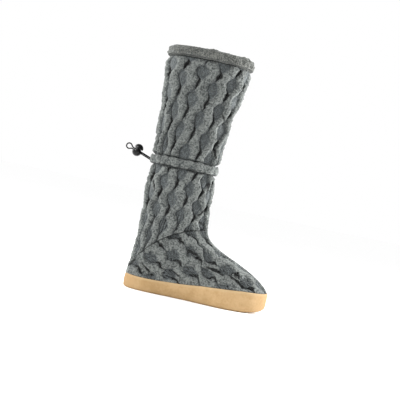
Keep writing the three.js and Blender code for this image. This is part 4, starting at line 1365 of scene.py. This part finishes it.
@dataclass
class CordLock:
    """The double-ball cord lock: a barrel with a sprung button in it."""

    place: CordPlace
    material: bpy.types.Material
    distance: float = 26.6
    segments: int = 64
    slot_width: float = 3.0
    slot_bottom: float = -4.1

    def turned(self, name: str, profile: list[tuple[float, float]], slot_top: float,
               node: str, body: str) -> bpy.types.Object:
        """Makes a turned body with the cord's slot through it.

        Args:
            name: The piece's name.
            profile: Radius and height of the outline, from the axis round to the axis.
            slot_top: Height of the slot's upper end.
            node: The node that it stands for.
            body: The body that it moves with.

        Returns:
            The finished piece.
        """
        shape = bmesh.new()
        line = [shape.verts.new((radius * MM, 0, height * MM)) for radius, height in profile]
        edges = [shape.edges.new(pair) for pair in zip(line, line[1:])]
        bmesh.ops.spin(
            shape, geom=line + edges, cent=(0, 0, 0), axis=(0, 0, 1), angle=2 * math.pi,
            steps=self.segments, use_merge=True,
        )
        bmesh.ops.remove_doubles(shape, verts=shape.verts, dist=0.01 * MM)
        bmesh.ops.recalc_face_normals(shape, faces=shape.faces)
        mesh = bpy.data.meshes.new(name)
        shape.to_mesh(mesh)
        shape.free()
        piece = add_object(name, mesh)
        self.cut_slot(piece, slot_top)
        run, rise = math.cos(self.place.rise), math.sin(self.place.rise)
        out, up = Vector((-run, 0, rise)), Vector((rise, 0, run))
        centre = Vector(self.place.point(self.distance, 0)) * MM
        frame_of_lock = Matrix((out, up.cross(out), up)).transposed().to_4x4()
        mesh = piece.data
        mesh.transform(Matrix.Translation(centre) @ frame_of_lock)
        mesh.shade_smooth()
        mesh.set_sharp_from_angle(angle=math.radians(38))
        return finish_piece(piece, node, self.material, body)

    def cut_slot(self, piece: bpy.types.Object, top: float) -> None:
        """Cuts the slot, with round ends, through a body that stands on its axis."""
        radius = self.slot_width / 2
        cutter = bmesh.new()
        corners = []
        for centre, turn in ((top - radius, 0), (self.slot_bottom + radius, math.pi)):
            for angle in (turn + math.pi * i / 8 for i in range(9)):
                corners.append((radius * math.cos(angle), centre + radius * math.sin(angle)))
        near, far = ([cutter.verts.new((x * MM, y * MM, z * MM)) for y, z in corners] for x in (-15, 15))
        cutter.faces.new(near)
        cutter.faces.new(far[::-1])
        for i, j in zip(range(len(corners)), [*range(1, len(corners)), 0]):
            cutter.faces.new((near[i], far[i], far[j], near[j]))
        bmesh.ops.recalc_face_normals(cutter, faces=cutter.faces)
        mesh = bpy.data.meshes.new("slot_cutter")
        cutter.to_mesh(mesh)
        cutter.free()
        tool = add_object("slot_cutter", mesh)
        cut = piece.modifiers.new("slot", "BOOLEAN")
        cut.operation = "DIFFERENCE"
        cut.object = tool
        cut.solver = "EXACT"
        bpy.context.view_layer.update()
        result = bpy.data.meshes.new_from_object(
            piece.evaluated_get(bpy.context.evaluated_depsgraph_get())
        )
        piece.modifiers.clear()
        piece.data = result
        bpy.data.objects.remove(tool)

    @staticmethod
    def ball(radius: float, centre: float, low: float, high: float, steps: int) -> list[tuple]:
        """Outline of a ball between two heights."""
        start = math.asin(max(-1, min(1, (low - centre) / radius)))
        end = math.asin(max(-1, min(1, (high - centre) / radius)))
        angles = [start + (end - start) * i / steps for i in range(steps + 1)]
        return [(radius * math.cos(angle), centre + radius * math.sin(angle)) for angle in angles]

    def build(self) -> list[bpy.types.Object]:
        """Makes the barrel and the button."""
        barrel = self.ball(8.4, -3.0, -11.4, 0.1, 30)
        barrel[0] = (0.0, barrel[0][1])
        barrel += [(7.5, 0.4), (7.2, 0.55), (6.35, 0.6), (6.2, 0.8), (6.1, 2.3), (5.8, 2.6)]
        barrel += [(5.2, 2.6), (4.75, 2.4), (4.6, 2.0), (4.6, -9.9), (0.0, -9.9)]
        button = [(0.0, -7.0), (4.0, -7.0), (4.3, -6.7), (4.3, 5.1), (6.5, 5.1), (6.75, 4.8)]
        button += [(6.8, 3.2), (7.0, 2.95), (7.7, 2.9), (8.05, 3.05)]
        dome = self.ball(8.2, 3.1, 3.4, 11.3, 26)
        dome[-1] = (0.0, dome[-1][1])
        button += dome
        return [
            self.turned("lock_barrel", barrel, 1.5, "toggle_barrel", BODY),
            self.turned("lock_button", button, 4.0, "toggle_button", "button"),
        ]


@dataclass
class Studio:
    """Pale floor, soft white light and a camera rolled as the photograph's."""

    centre: tuple[float, float] = (-0.0249, 0.1755)
    seen: float = 0.708
    distance: float = 1.4
    roll: float = math.radians(12)
    sensor: float = 36.0
    floor_radius: float = 60.0
    ambient: float = 0.28
    key: float = 3.62
    key_angle: float = math.radians(30)
    key_from: tuple[float, float, float] = (-0.74, -0.7, 0.8)
    look_at: tuple[float, float, float] = (0, 0, 0.2)
    rim_size: float = 0.9
    rims: tuple = (("rim_front", 1.35, 0.4, 0.7, 70), ("rim_back", -1.3, 0.6, 0.7, 20))

    def camera(self) -> bpy.types.Object:
        """Makes the camera."""
        data = bpy.data.cameras.new("camera")
        data.sensor_width = self.sensor
        data.sensor_height = self.sensor
        data.lens = self.sensor * self.distance / self.seen
        data.clip_end = 300
        camera = add_object("camera", data)
        place = Matrix.Translation((self.centre[0], -self.distance, self.centre[1]))
        turn = Matrix.Rotation(math.pi / 2, 4, "X") @ Matrix.Rotation(self.roll, 4, "Z")
        camera.matrix_world = place @ turn
        bpy.context.scene.camera = camera
        return camera

    def lamp(self, name: str, kind: str, place: Vector, aim: Vector, **settings) -> bpy.types.Object:
        """Makes a light that stands at a place and looks along a direction."""
        data = bpy.data.lights.new(name, kind)
        for key, value in settings.items():
            setattr(data, key, value)
        lamp = add_object(name, data)
        lamp.matrix_world = Matrix.Translation(place) @ aim.to_track_quat("-Z", "Y").to_matrix().to_4x4()
        return lamp

    def build(self) -> None:
        """Makes the floor, the world and the lights."""
        scene = bpy.context.scene
        scene.view_settings.view_transform = "Standard"
        scene.view_settings.look = "None"
        world = bpy.data.worlds.new("studio")
        world.use_nodes = True
        back = world.node_tree.nodes["Background"]
        back.inputs[0].default_value = (1, 1, 1, 1)
        nodes = Nodes(world.node_tree)
        seen = nodes.add("LightPath").outputs["Is Camera Ray"]
        nodes.put(back, 1, nodes.range(seen, 0, 1, self.ambient, 1.0))
        scene.world = world
        bpy.ops.mesh.primitive_circle_add(vertices=96, radius=self.floor_radius, fill_type="NGON")
        floor = bpy.context.active_object
        floor.name = "floor"
        material, _, _ = start_material(
            "pale_floor", Base_Color=(0.985, 0.985, 0.985, 1), Emission_Color=(1, 1, 1, 1),
            Emission_Strength=0.06, Roughness=0.9,
        )
        floor.data.materials.append(material)
        self.lamp("key", "SUN", Vector(), -Vector(self.key_from), energy=self.key, angle=self.key_angle)
        for name, x, y, z, power in self.rims:
            aim = Vector(self.look_at) - Vector((x, y, z))
            self.lamp(name, "AREA", Vector((x, y, z)), aim, shape="SQUARE", size=self.rim_size,
                      energy=power)


def main() -> None:
    """Builds the pieces in order and reports each."""
    logging.basicConfig(level=logging.INFO, format="%(name)s: %(message)s", stream=sys.stdout)
    last = Last()
    groups = {"heather": heather_group(), "stitch": stitch_group(), "nap": nap_group()}
    knit = KnitFinish("cable_knit").material(groups)
    cuff_knit = KnitFinish("cuff_knit", ridge=(90, 91, 87), light=(116, 117, 112),
                           dark=(40, 41, 39), fleck=1.9).material(groups)
    suede = SuedeFinish("tan_suede").material(groups)
    fleece = FleeceFinish("fleece_lining").material(groups)
    cord = CordFinish("elastic_cord").material()
    plastic = PlasticFinish("black_plastic").material()

    studio = Studio()
    studio.camera()
    place = CordPlace()
    lock = CordLock(place, plastic).build()
    pieces = [*lock, Drawcord(place, cord).build(lock)]
    studio.build()

    cuff_profile = [
        (-7.4, -2.2), (-5.4, -2.0), (-3.6, -0.1), (1.2, 0.1), (2.9, 1.4), (4.2, 7.0), (3.2, 13.4),
        (-0.8, 17.2), (-4.6, 16.2), (-6.9, 12.6), (-7.3, 6.0),
    ]
    casing_profile = [
        (-3.7, 0.1), (0.2, 0.1), (1.7, 1.6), (2.4, 5.0), (2.6, 8.0), (2.4, 11.0), (1.7, 14.4),
        (0.2, 15.9), (-3.7, 15.9),
    ]
    pieces += [
        KnitPanel(Panel.UPPER_SHAFT, last, UPPER_CABLES, knit, rows=200, across=390).build(),
        KnitPanel(Panel.LOWER_SHAFT, last, LOWER_CABLES, knit, rows=170, across=340,
                  ribbed=1.3, wales=5).build(),
        KnitPanel(Panel.FOOT, last, FOOT_CABLES, knit, rows=220, across=300, lining_rows=60,
                  ribbed=1.2, wales=8).build(),
        KnitBand("rolled_cuff_knit", "rolled_cuff", "cuff_knit", last, cuff_knit, cuff_profile,
                 415.0, False, lump=2.4, curl=0.9).build(),
        KnitBand("casing_knit", "drawstring_casing", "knit", last, knit, casing_profile, 222.0, True,
                 lump=0.5, hole=(1.5, 0.0, 228.7), cables=UPPER_CABLES).build(),
        SuedeSole(last, suede).build(),
        Insole(last, fleece).build(),
    ]
    for piece in pieces:
        log.info("%s: %d faces", piece.name, len(piece.data.polygons))


if __name__ == "__main__":
    main()
